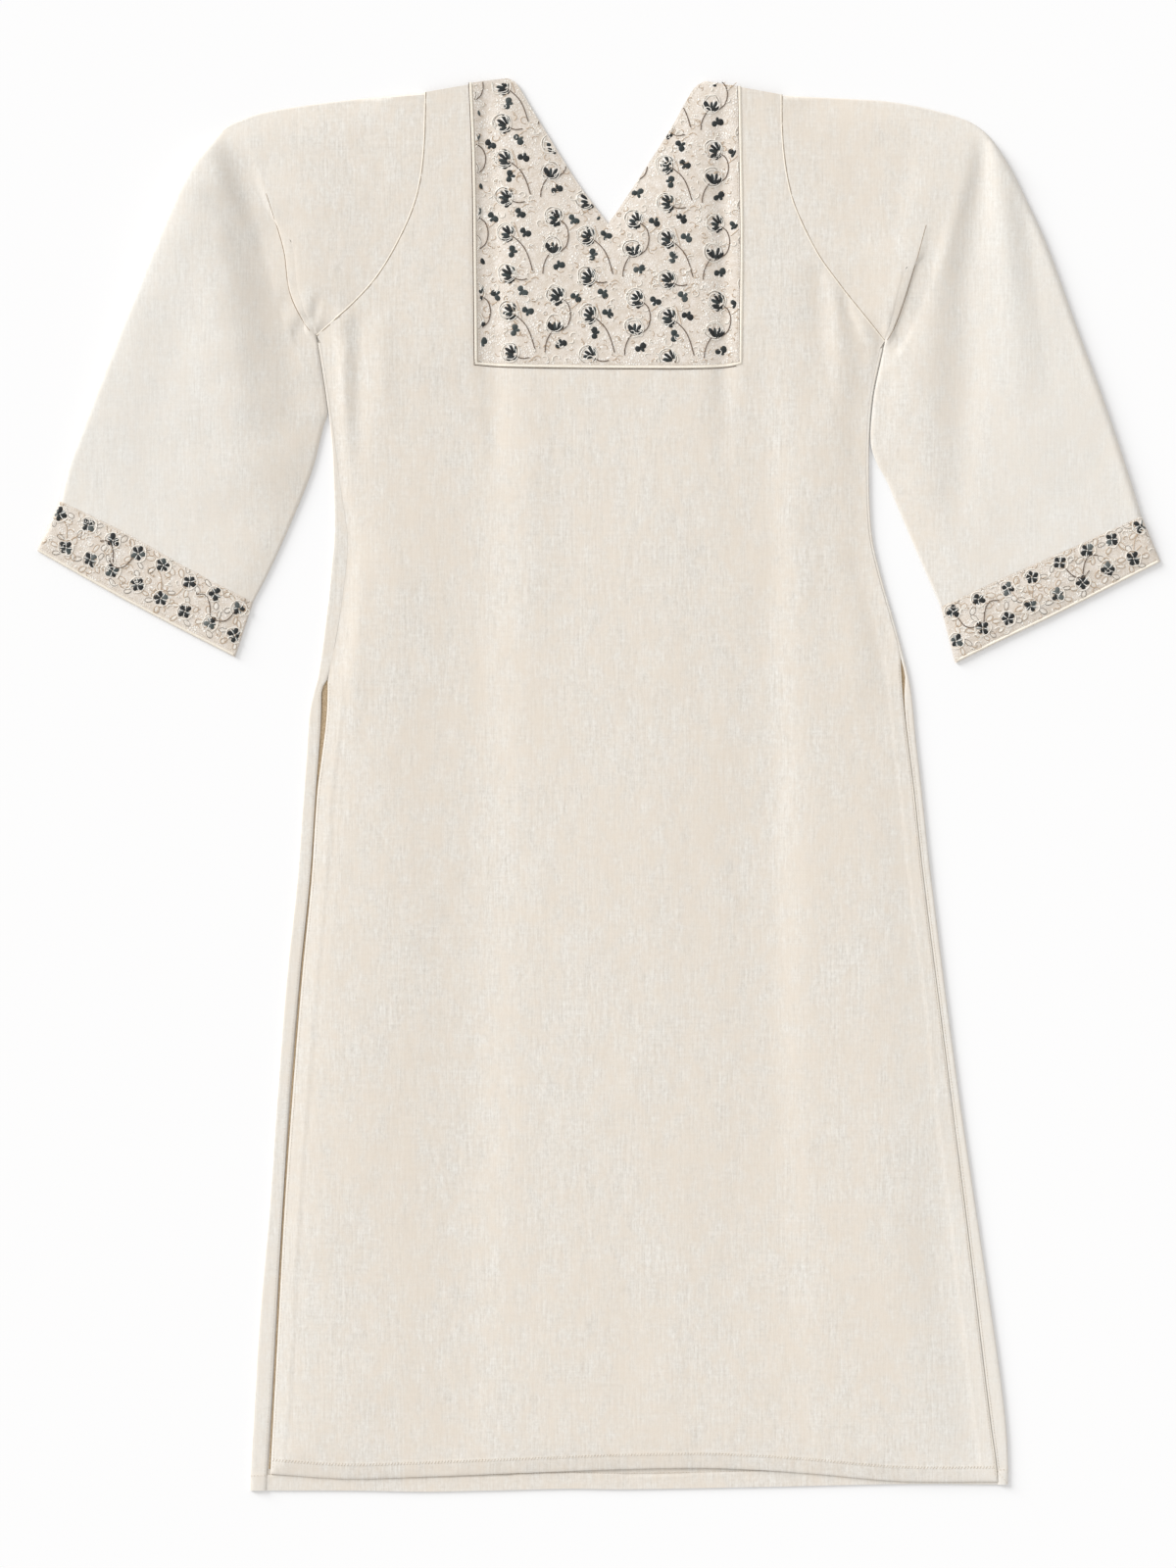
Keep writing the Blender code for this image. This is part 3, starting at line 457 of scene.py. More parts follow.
def free_lines():
    """Every edge where the upper layer ends or turns over."""
    lines = [FRONT_HEM, RIGHT_NECK, LEFT_NECK, edge_line(RIGHT_SIDE)]
    for sleeve in SLEEVES.values():
        lines += [sleeve[edge] for edge in ("over", "inner", "cuff hem")]
        lines.append((sleeve["cuff hem"][0], sleeve["cuff seam"][0]))
    return lines


FREE_EDGES = edge_points(free_lines())
SIDE_EDGES = edge_points([edge_line(RIGHT_SIDE), edge_line(LEFT_SIDE)])
LEVEL_EDGE = edge_points([edge_line(LEFT_SIDE)])
CRISP_EDGES = edge_points(
    [sleeve["outer"] for sleeve in SLEEVES.values()]
    + [(sleeve["cuff hem"][-1], sleeve["cuff seam"][-1]) for sleeve in SLEEVES.values()]
)
SEWN_EDGES = edge_points(
    [parts["armhole"] for parts in SIDES.values()] + [sleeve["cuff seam"] for sleeve in SLEEVES.values()]
)


def distance_to(edges, places):
    """Distance from each place to the nearest of some points."""
    found = np.empty(len(places))
    for start in range(0, len(places), 2000):
        part = places[start:start + 2000]
        gaps = part[:, None, :] - edges[None, :, :]
        found[start:start + 2000] = np.sqrt((gaps ** 2).sum(-1).min(1))
    return found


class Fold:
    """One soft trough or ridge along a smooth line."""

    WIDTHS = 6.0  # past this many widths from its line a fold has no height

    def __init__(self, lean, rows):
        line = Path([row[:2] for row in rows])
        self.spots = np.array(line.points)
        ways = np.gradient(self.spots, axis=0)
        self.ways = ways / np.linalg.norm(ways, axis=1)[:, None]
        self.reach = np.array(line.reach)
        share = smooth_step(np.linspace(0, 1, Path.STEPS + 1))[1:]
        tables = np.array([row[2:] for row in rows], float)
        blends = [a + (b - a) * share[:, None] for a, b in zip(tables, tables[1:])]
        self.sizes = np.concatenate([tables[:1], *blends])
        self.lean = lean
        self.margin = self.WIDTHS * self.sizes[:, 1].max()

    def height(self, places):
        """Height added at each place."""
        total = np.zeros(len(places))
        low, high = self.spots.min(0) - self.margin, self.spots.max(0) + self.margin
        near = (places > low).all(1) & (places < high).all(1)
        if not near.any():
            return total
        part = places[near]
        nearest = ((part[:, None, :] - self.spots[None, :, :]) ** 2).sum(-1).argmin(1)
        off = part - self.spots[nearest]
        way = self.ways[nearest]
        reach = self.reach[nearest] + (off * way).sum(1)
        sideways = off[:, 0] * -way[:, 1] + off[:, 1] * way[:, 0]
        height, width = (np.interp(reach, self.reach, column) for column in self.sizes.T)
        width = width * np.where(sideways < 0, self.lean, 1 - self.lean) * 2
        total[near] = height * bell(sideways, width)
        return total


SOFT_FOLDS = [Fold(lean, rows) for lean, *rows in FOLDS]


def fold_height(places):
    """Height that the soft folds add at each place."""
    return sum(fold.height(places) for fold in SOFT_FOLDS)


def ripple(places, across, along, seed):
    """Smooth noise between -1 and 1 over places, with its own wavelengths across and along."""
    return np.array([noise.noise((x / across, y / along, seed)) for x, y in places])


def above_slit(side, along):
    """0 beside a slit and 1 above it, where front and back are sewn together."""
    return smooth_step((along - SIDES[side]["levels"][0] - SLIT_CLOSING_FROM) / SLIT_CLOSING)


def fall(distance, reach):
    """1 at an edge, falling to nothing where the cloth stands at its full height."""
    return np.exp(-((distance / reach) ** CROWN_POWER))


def upper_height(places):
    """Middle height of the upper layer: low at its edges, crowned and folded inside."""
    places = np.asarray(places, float).reshape(-1, 2)
    across, along = places.T
    edge = distance_to(FREE_EDGES, places)
    beside = distance_to(LEVEL_EDGE, places)
    outer = distance_to(CRISP_EDGES, places)
    sewn = distance_to(SEWN_EDGES, places)
    low = 1 - smooth_step((along - LEVEL_FULL) / LEVEL_FADE)
    full = 1 - fall(outer, CRISP_REACH)
    slope = fall(beside, CROWN_REACH + LEVEL_REACH * low)
    rise = (1 - fall(edge, CROWN_REACH)) * (1 - (1 - LEVEL_EDGE_RISE * low) * slope) * full
    edge = np.minimum(edge, beside)
    near = (1 - fall(edge, CROWN_REACH)) * full
    edge = np.minimum(edge, outer)
    soft = sum(height * ripple(places, *waves) for height, *waves in SOFT_WAVES)
    lip = LIP * low * bell(beside, LIP_REACH)
    lip += SLEEVE_LIP * full * near * bell(outer, SLEEVE_LIP_REACH) * (across > 0)
    crown = np.maximum(CROWN * rise + (fold_height(places) + soft) * near, 0.0) + lip
    pucker = PUCKER * bell(sewn, PUCKER_REACH) * ripple(places, *PUCKER_WAVES)
    joined = np.where(across < 0, above_slit("right", along), above_slit("left", along))
    joined = joined * (distance_to(SIDE_EDGES, places) < SIDE_SEAM)
    roll = ROLL * (1 - joined) * bell(edge, ROLL_REACH) + SEAM_ROLL * bell(sewn, ROLL_REACH)
    return HIGH + crown + pucker - roll


def yoke_depth(places):
    """How far inside the yoke's outer edge each place lies."""
    across, along = places[:, 0], places[:, 1]
    return np.minimum.reduce([
        along - Path(YOKE_BOTTOM).along(across),
        across - Path(RIGHT_YOKE_EDGE).across(along),
        Path(LEFT_YOKE_EDGE).across(along) - across,
    ])


def ground_height(places):
    """Middle height of the front where it carries the yoke and its piping."""
    places = np.asarray(places, float).reshape(-1, 2)
    return upper_height(places) - YOKE_SINK * smooth_step(yoke_depth(places) / YOKE_BORDER + 1)


def yoke_height(places):
    """Middle height of the yoke, which lies in the front's dip."""
    return ground_height(places) + YOKE_LIFT


def edge_shares(count, gather):
    """Shares from 0 to 1, closer together at both ends the nearer gather is to 1."""
    even = np.linspace(0.0, 1.0, count + 1)
    return even * (1 - gather) + gather * (1 - np.cos(math.pi * even)) / 2


# ---- meshes


class Sheet:
    """The middle surface of one cloth piece: points, faces, places on the weave and thickness."""

    def __init__(self):
        self.index = {}
        self.points = []
        self.faces = []
        self.weave = []
        self.thickness = []

    def put(self, key, place, height, weave=None, thickness=LINEN):
        """Adds one point under its key."""
        self.index[key] = len(self.points)
        self.points.append((place[0] * MM, place[1] * MM, height * MM))
        grain = place if weave is None else weave
        self.weave.append((grain[0] * MM, grain[1] * MM))
        self.thickness.append(thickness)

    def face(self, *keys):
        """Adds a face, leaving out corners that coincide."""
        corners = []
        for key in keys:
            if self.index[key] not in corners:
                corners.append(self.index[key])
        if len(corners) > 2:
            self.faces.append(corners)

    def join(self, first, second, closed=False):
        """Faces between two rows of keys."""
        count = len(first) if closed else len(first) - 1
        for i in range(count):
            j = (i + 1) % len(first)
            self.face(first[i], first[j], second[j], second[i])

    def half(self, side, places, heights, thickness, vee_row):
        """Half of a body panel, from places in rows and columns."""
        rows = []
        for row in range(places.shape[0]):
            keys = [panel_key(side, row, column, vee_row) for column in range(places.shape[1])]
            for column, key in enumerate(keys):
                if key not in self.index:
                    self.put(key, places[row, column], heights[row, column], None, thickness[row, column])
            rows.append(keys if side == "left" else keys[::-1])
        for first, second in zip(rows, rows[1:]):
            self.join(first, second)


def place_in_scene(name, data):
    """A new object in the scene, at the origin."""
    made = bpy.data.objects.new(name, data)
    bpy.context.scene.collection.objects.link(made)
    return made


def add_mesh(name, points, faces):
    """A new mesh object."""
    mesh = bpy.data.meshes.new(name)
    mesh.from_pydata([tuple(point) for point in points], [], faces)
    return place_in_scene(name, mesh)


def settle(thing):
    """Turns an object's modifiers into plain mesh."""
    graph = bpy.context.evaluated_depsgraph_get()
    mesh = bpy.data.meshes.new_from_object(thing.evaluated_get(graph), depsgraph=graph)
    old = thing.data
    thing.modifiers.clear()
    thing.data = mesh
    bpy.data.meshes.remove(old)
    mesh.name = thing.name
    return thing


def make_cloth(name, sheet, material):
    """Turns a middle surface into a wall of cloth that carries its place on the weave."""
    made = add_mesh(name, sheet.points, sheet.faces)
    grain = made.data.uv_layers.new(name="weave")
    corners = np.array([loop.vertex_index for loop in made.data.loops])
    grain.data.foreach_set("uv", np.array(sheet.weave)[corners].ravel())
    made.data.materials.append(material)
    group = made.vertex_groups.new(name="thickness")
    greatest = max(sheet.thickness)
    for thickness in sorted(set(sheet.thickness)):
        members = [i for i, value in enumerate(sheet.thickness) if value == thickness]
        group.add(members, thickness / greatest, "REPLACE")
    wall = made.modifiers.new("wall", "SOLIDIFY")
    wall.thickness = greatest * MM
    wall.offset = 0.0
    wall.vertex_group = group.name
    settle(made)
    made.vertex_groups.clear()
    made.data.shade_smooth()
    made.data.set_sharp_from_angle(angle=math.radians(SHARP_FROM))
    return made


# ---- body panels

CENTRE_LEVELS = (98.0, 351.0)
# How much thicker each turned-up strip is at its outer edge.
STRIP_RIM = {"right": 0.05, "left": 0.15}
#    share across a turned-up strip, its height above the upper layer, the same at the hem
STRIP_RISES = {
    "right": (
        (0.16, 0.06, 0.4), (0.32, 0.1, 0.4), (0.55, 0.16, 0.38), (0.8, 0.22, 0.3), (0.94, 0.14, 0.1),
        (1, -0.15, -0.25),
    ),
    "left": (
        (0.16, 0.2, 0.5), (0.32, 0.16, 0.5), (0.55, 0.1, 0.48), (0.8, 0.04, 0.4), (0.94, -0.06, 0.1),
        (1, -0.3, -0.2),
    ),
}


def fine_shares(length):
    """Shares of a length that starts at a free edge: fine steps first, then even ones."""
    fine = np.array(FINE_STEPS) / length
    count = max(int((length - FINE_STEPS[-1]) / GRID), 2)
    return np.concatenate([fine, np.linspace(fine[-1], 1.0, count + 1)[1:]])


def guide(paths, levels, shares):
    """Points up a body panel: one path and one pair of levels for each stretch of rows."""
    found = []
    for path, low, high, steps in zip(paths, levels, levels[1:], shares):
        along = low + (high - low) * steps[:-1]
        found.append(np.stack([path.across(along), along], -1))
    top = levels[-1]
    found.append(np.array([[paths[-1].across(top), top]]))
    return np.concatenate(found)


def row_shares(levels):
    """Shares of each stretch of rows, and how many rows lie below each stretch's end."""
    shares = [fine_shares(levels[1] - levels[0])]
    for low, high in zip(levels[1:], levels[2:]):
        shares.append(np.linspace(0.0, 1.0, max(int((high - low) / GRID), 2) + 1))
    counts = np.cumsum([len(steps) - 1 for steps in shares])
    return shares, counts


def panel_half(side, edge_column, hem, setback, shares, columns):
    """Places of one half of a body panel: rows by columns from the centre to the side."""
    parts = SIDES[side]
    hem = Path(hem)
    out = parts["out"]
    centre = Path(CENTRE_LINE)
    neck = Path([(x + out * setback, y - setback) for x, y in parts["neck"]])
    neck_levels = (
        hem.along(CENTRE_LINE[0][0]), *CENTRE_LEVELS, NECK_POINT[1] - setback,
        parts["neck"][-1][1] - setback,
    )
    edge = side_path(parts["side"], edge_column)
    armhole = Path(parts["armhole"])
    inner = guide((centre, centre, centre, neck), neck_levels, shares)
    outer = guide((edge, edge, armhole, armhole), (hem.along(edge.points[0].x), *parts["levels"]), shares)
    width = np.linalg.norm(outer - inner, axis=1)[:, None]
    fine = 1 - np.array(FINE_STEPS[::-1])[None, :] / width
    even = np.linspace(0.0, 1.0, columns + 1)[None, :-1] * fine[:, :1]
    across = np.concatenate([even, fine], axis=1)[:, :, None]
    places = inner[:, None, :] * (1 - across) + outer[:, None, :] * across
    return follow(places, hem, HEM_FADE, 2)


def follow(places, hem, reach, power):
    """Rows of places with the lowest ones drawn down to a hem's curve."""
    fade = np.clip(1 - (places[:, :, 1] - places[0, :, 1]) / reach, 0.0, 1.0) ** power
    places[:, :, 1] += (hem.along(places[0, :, 0]) - places[0, :, 1])[None, :] * fade
    return places


def panel_key(side, row, column, vee_row):
    """Both halves share the centre line below the V."""
    if column == 0 and row <= vee_row:
        return ("centre", row)
    return (side, row, column)


def front_height(places):
    """Middle height of the front, which lies on the back's hem at its own and is thicker there."""
    places = np.asarray(places, float).reshape(-1, 2)
    from_hem = places[:, 1] - Path(FRONT_HEM).along(places[:, 0])
    lift = HEM_LIFT * (1 - smooth_step((from_hem - HEM_LIFT_FROM) / HEM_LIFT_OVER))
    waver = HEM_WAVE * bell(from_hem - HEM_WIDTH, HEM_WAVE_REACH) * ripple(places, *HEM_WAVES)
    step = HEM_STEP * (1 - smooth_step((from_hem - HEM_WIDTH + HEM_STEP_IN) / HEM_STEP_WIDTH))
    return ground_height(places) + lift + waver + step


def make_front(material):
    """The front panel, thicker along its hem and slits, where it is turned."""
    levels = (FRONT_HEM[4][1], *CENTRE_LEVELS, NECK_POINT[1], RIGHT_NECK[-1][1])
    shares, counts = row_shares(levels)
    sheet = Sheet()
    for side, parts in SIDES.items():
        places = panel_half(side, FRONT_EDGE, FRONT_HEM, 0.0, shares, FRONT_COLUMNS)
        shape = places.shape[:2]
        flat = places.reshape(-1, 2)
        hemmed = flat[:, 1] - Path(FRONT_HEM).along(flat[:, 0])
        edge = side_path(parts["side"], FRONT_EDGE).across(flat[:, 1])
        beside_slit = flat[:, 1] < parts["levels"][0]
        from_slit = np.where(beside_slit, (edge - flat[:, 0]) * parts["out"], math.inf)
        hemmed = np.minimum(hemmed, from_slit)
        thick = np.where(hemmed < HEM_WIDTH, HEM, LINEN)
        thick = np.where(hemmed < PRESSED_EDGE, HEM_EDGE, thick)
        sheet.half(side, places, front_height(flat).reshape(shape), thick.reshape(shape), counts[2])
    return make_cloth("front_cloth", sheet, material)


def turn_over(side, edge, reach, at_hem, sewn):
    """Cross-section of cloth that turns up at an edge and runs back over itself, level where it is sewn."""
    out = SIDES[side]["out"]
    radius = (LAYER + STRIP_RIM[side]) / 2
    centre = edge - out * (LINEN / 2 + radius)
    found = []
    for angle in (-90.0, -54.0, -18.0, 18.0, 54.0, 90.0):
        turn = math.radians(angle)
        found.append((centre + out * radius * math.cos(turn), LOW + radius + radius * math.sin(turn)))
    for share, rise, hem_rise in STRIP_RISES[side]:
        rise = hem_rise if at_hem else rise * (1 - sewn)
        found.append((centre + (reach - centre) * share, HIGH + rise))
    return found


def make_back(material):
    """The back panel with its sides turned up and over to the front, as seam and slit hems."""
    levels = (BACK_HEM[5][1], *CENTRE_LEVELS, NECK_POINT[1] - NECK_SETBACK, RIGHT_NECK[-1][1] - NECK_SETBACK)
    shares, counts = row_shares(levels)
    vee_row, yoke_row = counts[2], counts[1]
    sheet = Sheet()
    for side, parts in SIDES.items():
        out = parts["out"]
        turned = side_path(parts["side"], TURNED_EDGE)
        places = panel_half(side, BACK_EDGE, BACK_HEM, NECK_SETBACK, shares, BACK_COLUMNS)
        hem = Path(BACK_HEM).along(places[:, :, 0])
        hemmed = places[:, :, 1] - hem < HEM_WIDTH
        thick = np.where(hemmed, HEM, LINEN)
        rows = []
        for row in range(places.shape[0]):
            strip = []
            line = places[row]
            edge, along = line[-1]
            if row < yoke_row:
                sewn = float(above_slit(side, along))
                strip = turn_over(side, edge, turned.across(along), hemmed[row, -1], sewn)
                line = line[:-STRIP_START]
            keys = []
            for column, place in enumerate(line):
                keys.append(panel_key(side, row, column, vee_row))
                if keys[-1] not in sheet.index:
                    height = LOW + (thick[row, column] - LINEN) / 2
                    sheet.put(keys[-1], place, height, None, thick[row, column])
            for step, (across, height) in enumerate(strip):
                keys.append((side, row, "strip", step))
                sheet.put(keys[-1], (across, along), height, (across + out * STRIP_GRAIN, along))
            rows.append(keys)
        for first, second in zip(rows, rows[1:]):
            count = min(len(first), len(second))
            first, second = first[:count], second[:count]
            if side == "right":
                first, second = first[::-1], second[::-1]
            sheet.join(first, second)
    return make_cloth("back_cloth", sheet, material)


# ---- yoke and its piping


def yoke_guides():
    """Rows of both halves of the yoke, as its inner and outer lines."""
    found = {}
    for side, parts in SIDES.items():
        neck, centre, edge = Path(parts["neck"]), Path(CENTRE_LINE), Path(parts["yoke"])
        inner_levels = (CENTRE_LEVELS[1], NECK_POINT[1], parts["neck"][-1][1])
        outer_levels = parts["yoke levels"]
        shares = [
            np.linspace(0.0, 1.0, 2 + int((high - low) / YOKE_GRID))
            for low, high in zip(inner_levels, inner_levels[1:])
        ]
        found[side] = (
            guide((centre, neck), inner_levels, shares),
            guide((edge, edge), outer_levels, shares),
            len(shares[0]) - 1,
        )
    return found


def make_yoke(material):
    """The embroidered panel, made from places on the front, moved up."""
    sheet = Sheet()
    for side, (inner, outer, vee_row) in yoke_guides().items():
        across = edge_shares(YOKE_COLUMNS, YOKE_GATHER)[None, :, None]
        places = inner[:, None, :] * (1 - across) + outer[:, None, :] * across
        places = follow(places, Path(YOKE_BOTTOM), YOKE_FADE, 1)
        heights = yoke_height(places.reshape(-1, 2)).reshape(places.shape[:2])
        sheet.half(side, places, heights, np.full(heights.shape, LINEN), vee_row)
    return make_cloth("yoke_cloth", sheet, material)


def yoke_border():
    """Places along the yoke's outer edge: down the right side, across, and up the left side."""
    route = []
    for parts, order in zip(SIDES.values(), (-1, 1)):
        edge = Path(parts["yoke"])
        low, top = parts["yoke levels"][0], parts["yoke levels"][-1]
        along = np.linspace(low, top, int((top - low) / ROUTE_STEP) + 1)
        route.append([(float(edge.across(y)), y) for y in along][::order])
    return route[0] + path_route(YOKE_BOTTOM)[1:-1] + route[1]


def border_offset(route, distance):
    """A route moved out from the yoke, with its corners mitred."""
    route = np.asarray(route, float)
    found = []
    for i, place in enumerate(route):
        before = place - route[max(i - 1, 0)]
        after = route[min(i + 1, len(route) - 1)] - place
        ways = [way / np.linalg.norm(way) for way in (before, after) if np.linalg.norm(way) > 0]
        normals = [np.array((way[1], -way[0])) for way in ways]
        outward = sum(normals) / np.linalg.norm(sum(normals))
        found.append(place - outward * -distance / (outward @ normals[0]))
    return found


def on_top(height, route, lift):
    """A route of places, lifted onto a surface."""
    route = np.asarray(route, float)
    return [(x, y, z + lift) for (x, y), z in zip(route, height(route))]


def make_piping(material, ditch_material):
    """A soft cord of turned cloth round the yoke, with a thin brown thread in its seam."""
    border = yoke_border()
    route = on_top(ground_height, border_offset(border, PIPING_OUT), LINEN / 2 + 0.25)
    cord = lay("yoke_piping_cord", [route], material, PIPING_WIDTH / 2, PIPING_FLAT, 12)
    corner = len([place for place in border if place[0] < DITCH_TURN])
    routes = [
        on_top(ground_height, border_offset(border, DITCH_OUT)[:corner], LINEN / 2 + 0.1),
        on_top(ground_height, border_offset(border, DITCH_IN)[corner:], YOKE_LIFT + 0.25),
    ]
    return cord, lay("yoke_ditch_thread", routes, ditch_material, 0.3, 1.0, 6)


# ---- sleeves and cuffs


class Stretch:
    """Part of a path, read by its share of that part."""

    def __init__(self, path, start, end):
        self.path = path
        self.start = start / path.length()
        self.end = end / path.length()

    def at(self, share):
        return self.path.at(self.start + (self.end - self.start) * share)


def inward(path, share, inside):
    """Unit vector from an edge into the sleeve."""
    ahead, behind = path.at(min(share + NEARBY, 1.0)), path.at(max(share - NEARBY, 0.0))
    along = (ahead - behind).normalized()
    normal = Vector((-along.y, along.x))
    return normal if normal.dot(inside - path.at(share)) > 0 else -normal


def patch(start, end, inner, outer, across, along):
    """A place inside four lines; the two side lines are met exactly."""
    first = start(0) * (1 - across) + start(1) * across
    last = end(0) * (1 - across) + end(1) * across
    between = start(across) * (1 - along) + end(across) * along
    sides = inner(along) * (1 - across) + outer(along) * across
    return between + sides - first * (1 - along) - last * along


def open_distances():
    """Distances of the fold's stations past its visible edge, where it lies open."""
    first = -(NOSE + LOW)
    turns = 2 * len(TUCK_ARC)
    between = [first + TUCK_RUN * i / (turns - 1) for i in range(turns)]
    return [first - TUCK_BACK, *between, between[-1] + TUCK_FRONT]


def tuck_profile(folded):
    """Distances past the fold's visible edge and heights, along the cloth as it turns twice."""
    laid_open = open_distances()
    first = laid_open[1]
    lifts = TUCK_LIFT * (1 - smooth_step((np.array(laid_open) - first) / TUCK_RUN))
    step = list(zip(laid_open, lifts))
    if folded <= TUCK_STEPPED:
        return [(distance, height * folded / TUCK_STEPPED) for distance, height in step]
    least, greatest = TUCK_OVERLAP
    overlap = least + (greatest - least) * max(folded - TUCK_UPRIGHT, 0.0) / (1 - TUCK_UPRIGHT)
    turned = [(first - overlap - TUCK_BACK, TUCK_LIFT)]
    for centre, height, way in ((first, TUCK_LIFT - TUCK_NOSE, 1), (first - overlap, TUCK_NOSE, -1)):
        for angle in TUCK_ARC:
            turn = math.radians(angle)
            turned.append((centre + way * TUCK_NOSE * math.cos(turn), height + TUCK_NOSE * math.sin(turn)))
    turned.append((turned[-1][0] + TUCK_FRONT, 0.0))
    mix = min((folded - TUCK_STEPPED) / (TUCK_UPRIGHT - TUCK_STEPPED), 1.0)
    return [(a[0] + (b[0] - a[0]) * mix, a[1] + (b[1] - a[1]) * mix) for a, b in zip(step, turned)]


def tuck_share(laid_open):
    """Share of the fold's cloth that lies before a distance past its edge."""
    return (laid_open - open_distances()[0]) / TUCK_LENGTH


class Sleeve:
    """Places on one flattened sleeve, from the armhole to the cuff seam."""

    def __init__(self, side):
        parts, shape = SIDES[side], SLEEVES[side]
        armhole = Path(parts["armhole"])
        line = [armhole.at(i / ARMHOLE_STEPS) for i in range(ARMHOLE_STEPS + 1)]
        moved = []
        for i, place in enumerate(line):
            along = (line[min(i + 1, ARMHOLE_STEPS)] - line[max(i - 1, 0)]).normalized()
            moved.append(place + Vector((-along.y, along.x)) * -parts["out"] * ARMHOLE_GAP)
        self.armhole = Path(moved, straight=True)
        self.fold = Path((moved[0], *map(Vector, shape["fold"])))
        self.over = Path((moved[-1], *map(Vector, shape["over"])))
        self.outer = Path(shape["outer"])
        self.inner = Path((moved[0], *map(Vector, shape["inner"])))
        self.seam = Path(shape["cuff seam"])
        self.corner = Stretch(self.inner, 0.0, 0.0)
        self.tuck_inner = Stretch(self.inner, 0.0, TUCK_LENGTH)
        self.tuck_outer = Stretch(self.outer, 0.0, TUCK_LENGTH)
        self.rest_inner = Stretch(self.inner, TUCK_LENGTH, self.inner.length())
        self.rest_outer = Stretch(self.outer, TUCK_LENGTH, self.outer.length())

    def past_fold(self, across, distance, laid_open):
        """A place beyond the fold's edge, held to the sleeve's own edges at both ends."""
        place = self.fold.at(across) + self.downward(across) * distance
        share = tuck_share(laid_open)
        at_inner = self.fold.at(0) + self.downward(0) * laid_open
        at_outer = self.fold.at(1) + self.downward(1) * laid_open
        place = place + (self.tuck_inner.at(share) - at_inner) * (1 - across) ** TUCK_FADE
        return place + (self.tuck_outer.at(share) - at_outer) * across ** TUCK_FADE

    def downward(self, across):
        """Unit vector across the fold, towards the cuff."""
        return inward(self.fold, across, self.seam.at(across))

    def tuck_place(self, across, folded, station):
        """Place and extra height at one station of the fold."""
        distance, lift = tuck_profile(folded)[station]
        return self.past_fold(across, distance, open_distances()[station]), lift

    def stations(self):
        """Each ring's name, share and stretch, armhole first."""
        found = [("armhole", i / ARMHOLE_STATIONS) for i in range(ARMHOLE_STATIONS)]
        found += [("tuck", i) for i in range(len(open_distances()))]
        found += [("arm", i / SLEEVE_STATIONS) for i in range(1, SLEEVE_STATIONS + 1)]
        return found

    def place(self, station, across, folded):
        """Place and extra height on the upper layer, or with folded 0 on the lower one."""
        part, step = station
        if part == "tuck":
            return self.tuck_place(across, folded, step)
        if part == "armhole":
            lift = self.tuck_place(across, folded, 0)[1] * float(smooth_step(step))
            end = lambda share: self.tuck_place(share, folded, 0)[0]
            return patch(self.armhole.at, end, self.corner.at, self.over.at, across, step), lift
        begin = lambda share: self.tuck_place(share, folded, -1)[0]
        return patch(begin, self.seam.at, self.rest_inner.at, self.rest_outer.at, across, step), 0.0

    def at_fold(self, station):
        """How far the fold's own height stands in for that of a place near it, 0 to 1."""
        part, step = station
        if part == "tuck":
            return 1.0
        if part == "armhole":
            return float(smooth_step((step - 0.75) / 0.25))
        return float(smooth_step(1 - step / 0.08))

    def edges(self, station):
        """Underarm and upper edge at a station, each with its unit vector into the sleeve."""
        part, step = station
        if part == "armhole":
            inner, outer, share = self.tuck_inner, self.over, step
        elif part == "tuck":
            inner, outer, share = self.tuck_inner, self.tuck_outer, tuck_share(open_distances()[step])
        else:
            inner, outer, share = self.rest_inner, self.rest_outer, step
        middle = self.place(station, 0.5, 0.0)[0] if part == "arm" else self.fold.at(0.5)
        inner_share = 0.0 if part == "armhole" else share
        return [
            (line.at(along), inward(line, along, middle))
            for line, along in ((inner, inner_share), (outer, share))
        ]


def ring_points(upper, lower, edges):
    """One ring of a flattened tube: upper layer, turn, lower layer, turn."""
    (inner, into_inner), (outer, into_outer) = edges
    bend = LOW + NOSE
    points = [(inner + into_inner * bend, HIGH)]
    points += upper
    points.append((outer + into_outer * bend, HIGH))
    points.append((outer + into_outer * LOW, LOW + NOSE))
    points.append((outer + into_outer * bend, LOW))
    points += [(place, LOW) for place in lower]
    points.append((inner + into_inner * bend, LOW))
    points.append((inner + into_inner * LOW, LOW + NOSE))
    return points


def make_tube(name, rings, material, gathered=0):
    """A flattened tube; its first rings, as many as gathered says, meet at one turn of the edge."""
    sheet = Sheet()
    keys = []
    for number, ring in enumerate(rings):
        turn = (0, len(ring) - 2, len(ring) - 1)
        lowest = len(ring) - LOWER_COLUMNS - 4
        keys.append([
            ("corner", i) if number < gathered and i in turn else (number, i)
            for i in range(len(ring))
        ])
        for i, (key, (place, height)) in enumerate(zip(keys[-1], ring)):
            if key not in sheet.index:
                grain = place if i < lowest else (place[0] + UNDER_GRAIN, place[1])
                sheet.put(key, place, height, grain)
    for first, second in zip(keys, keys[1:]):
        sheet.join(first, second, closed=True)
    return make_cloth(name, sheet, material)


def tube_columns():
    """Shares across a flattened tube's upper layer, and back across its lower one."""
    upper = edge_shares(SLEEVE_COLUMNS, GATHER)[1:-1]
    return upper, edge_shares(LOWER_COLUMNS + 1, LOWER_GATHER)[1:-1][::-1]


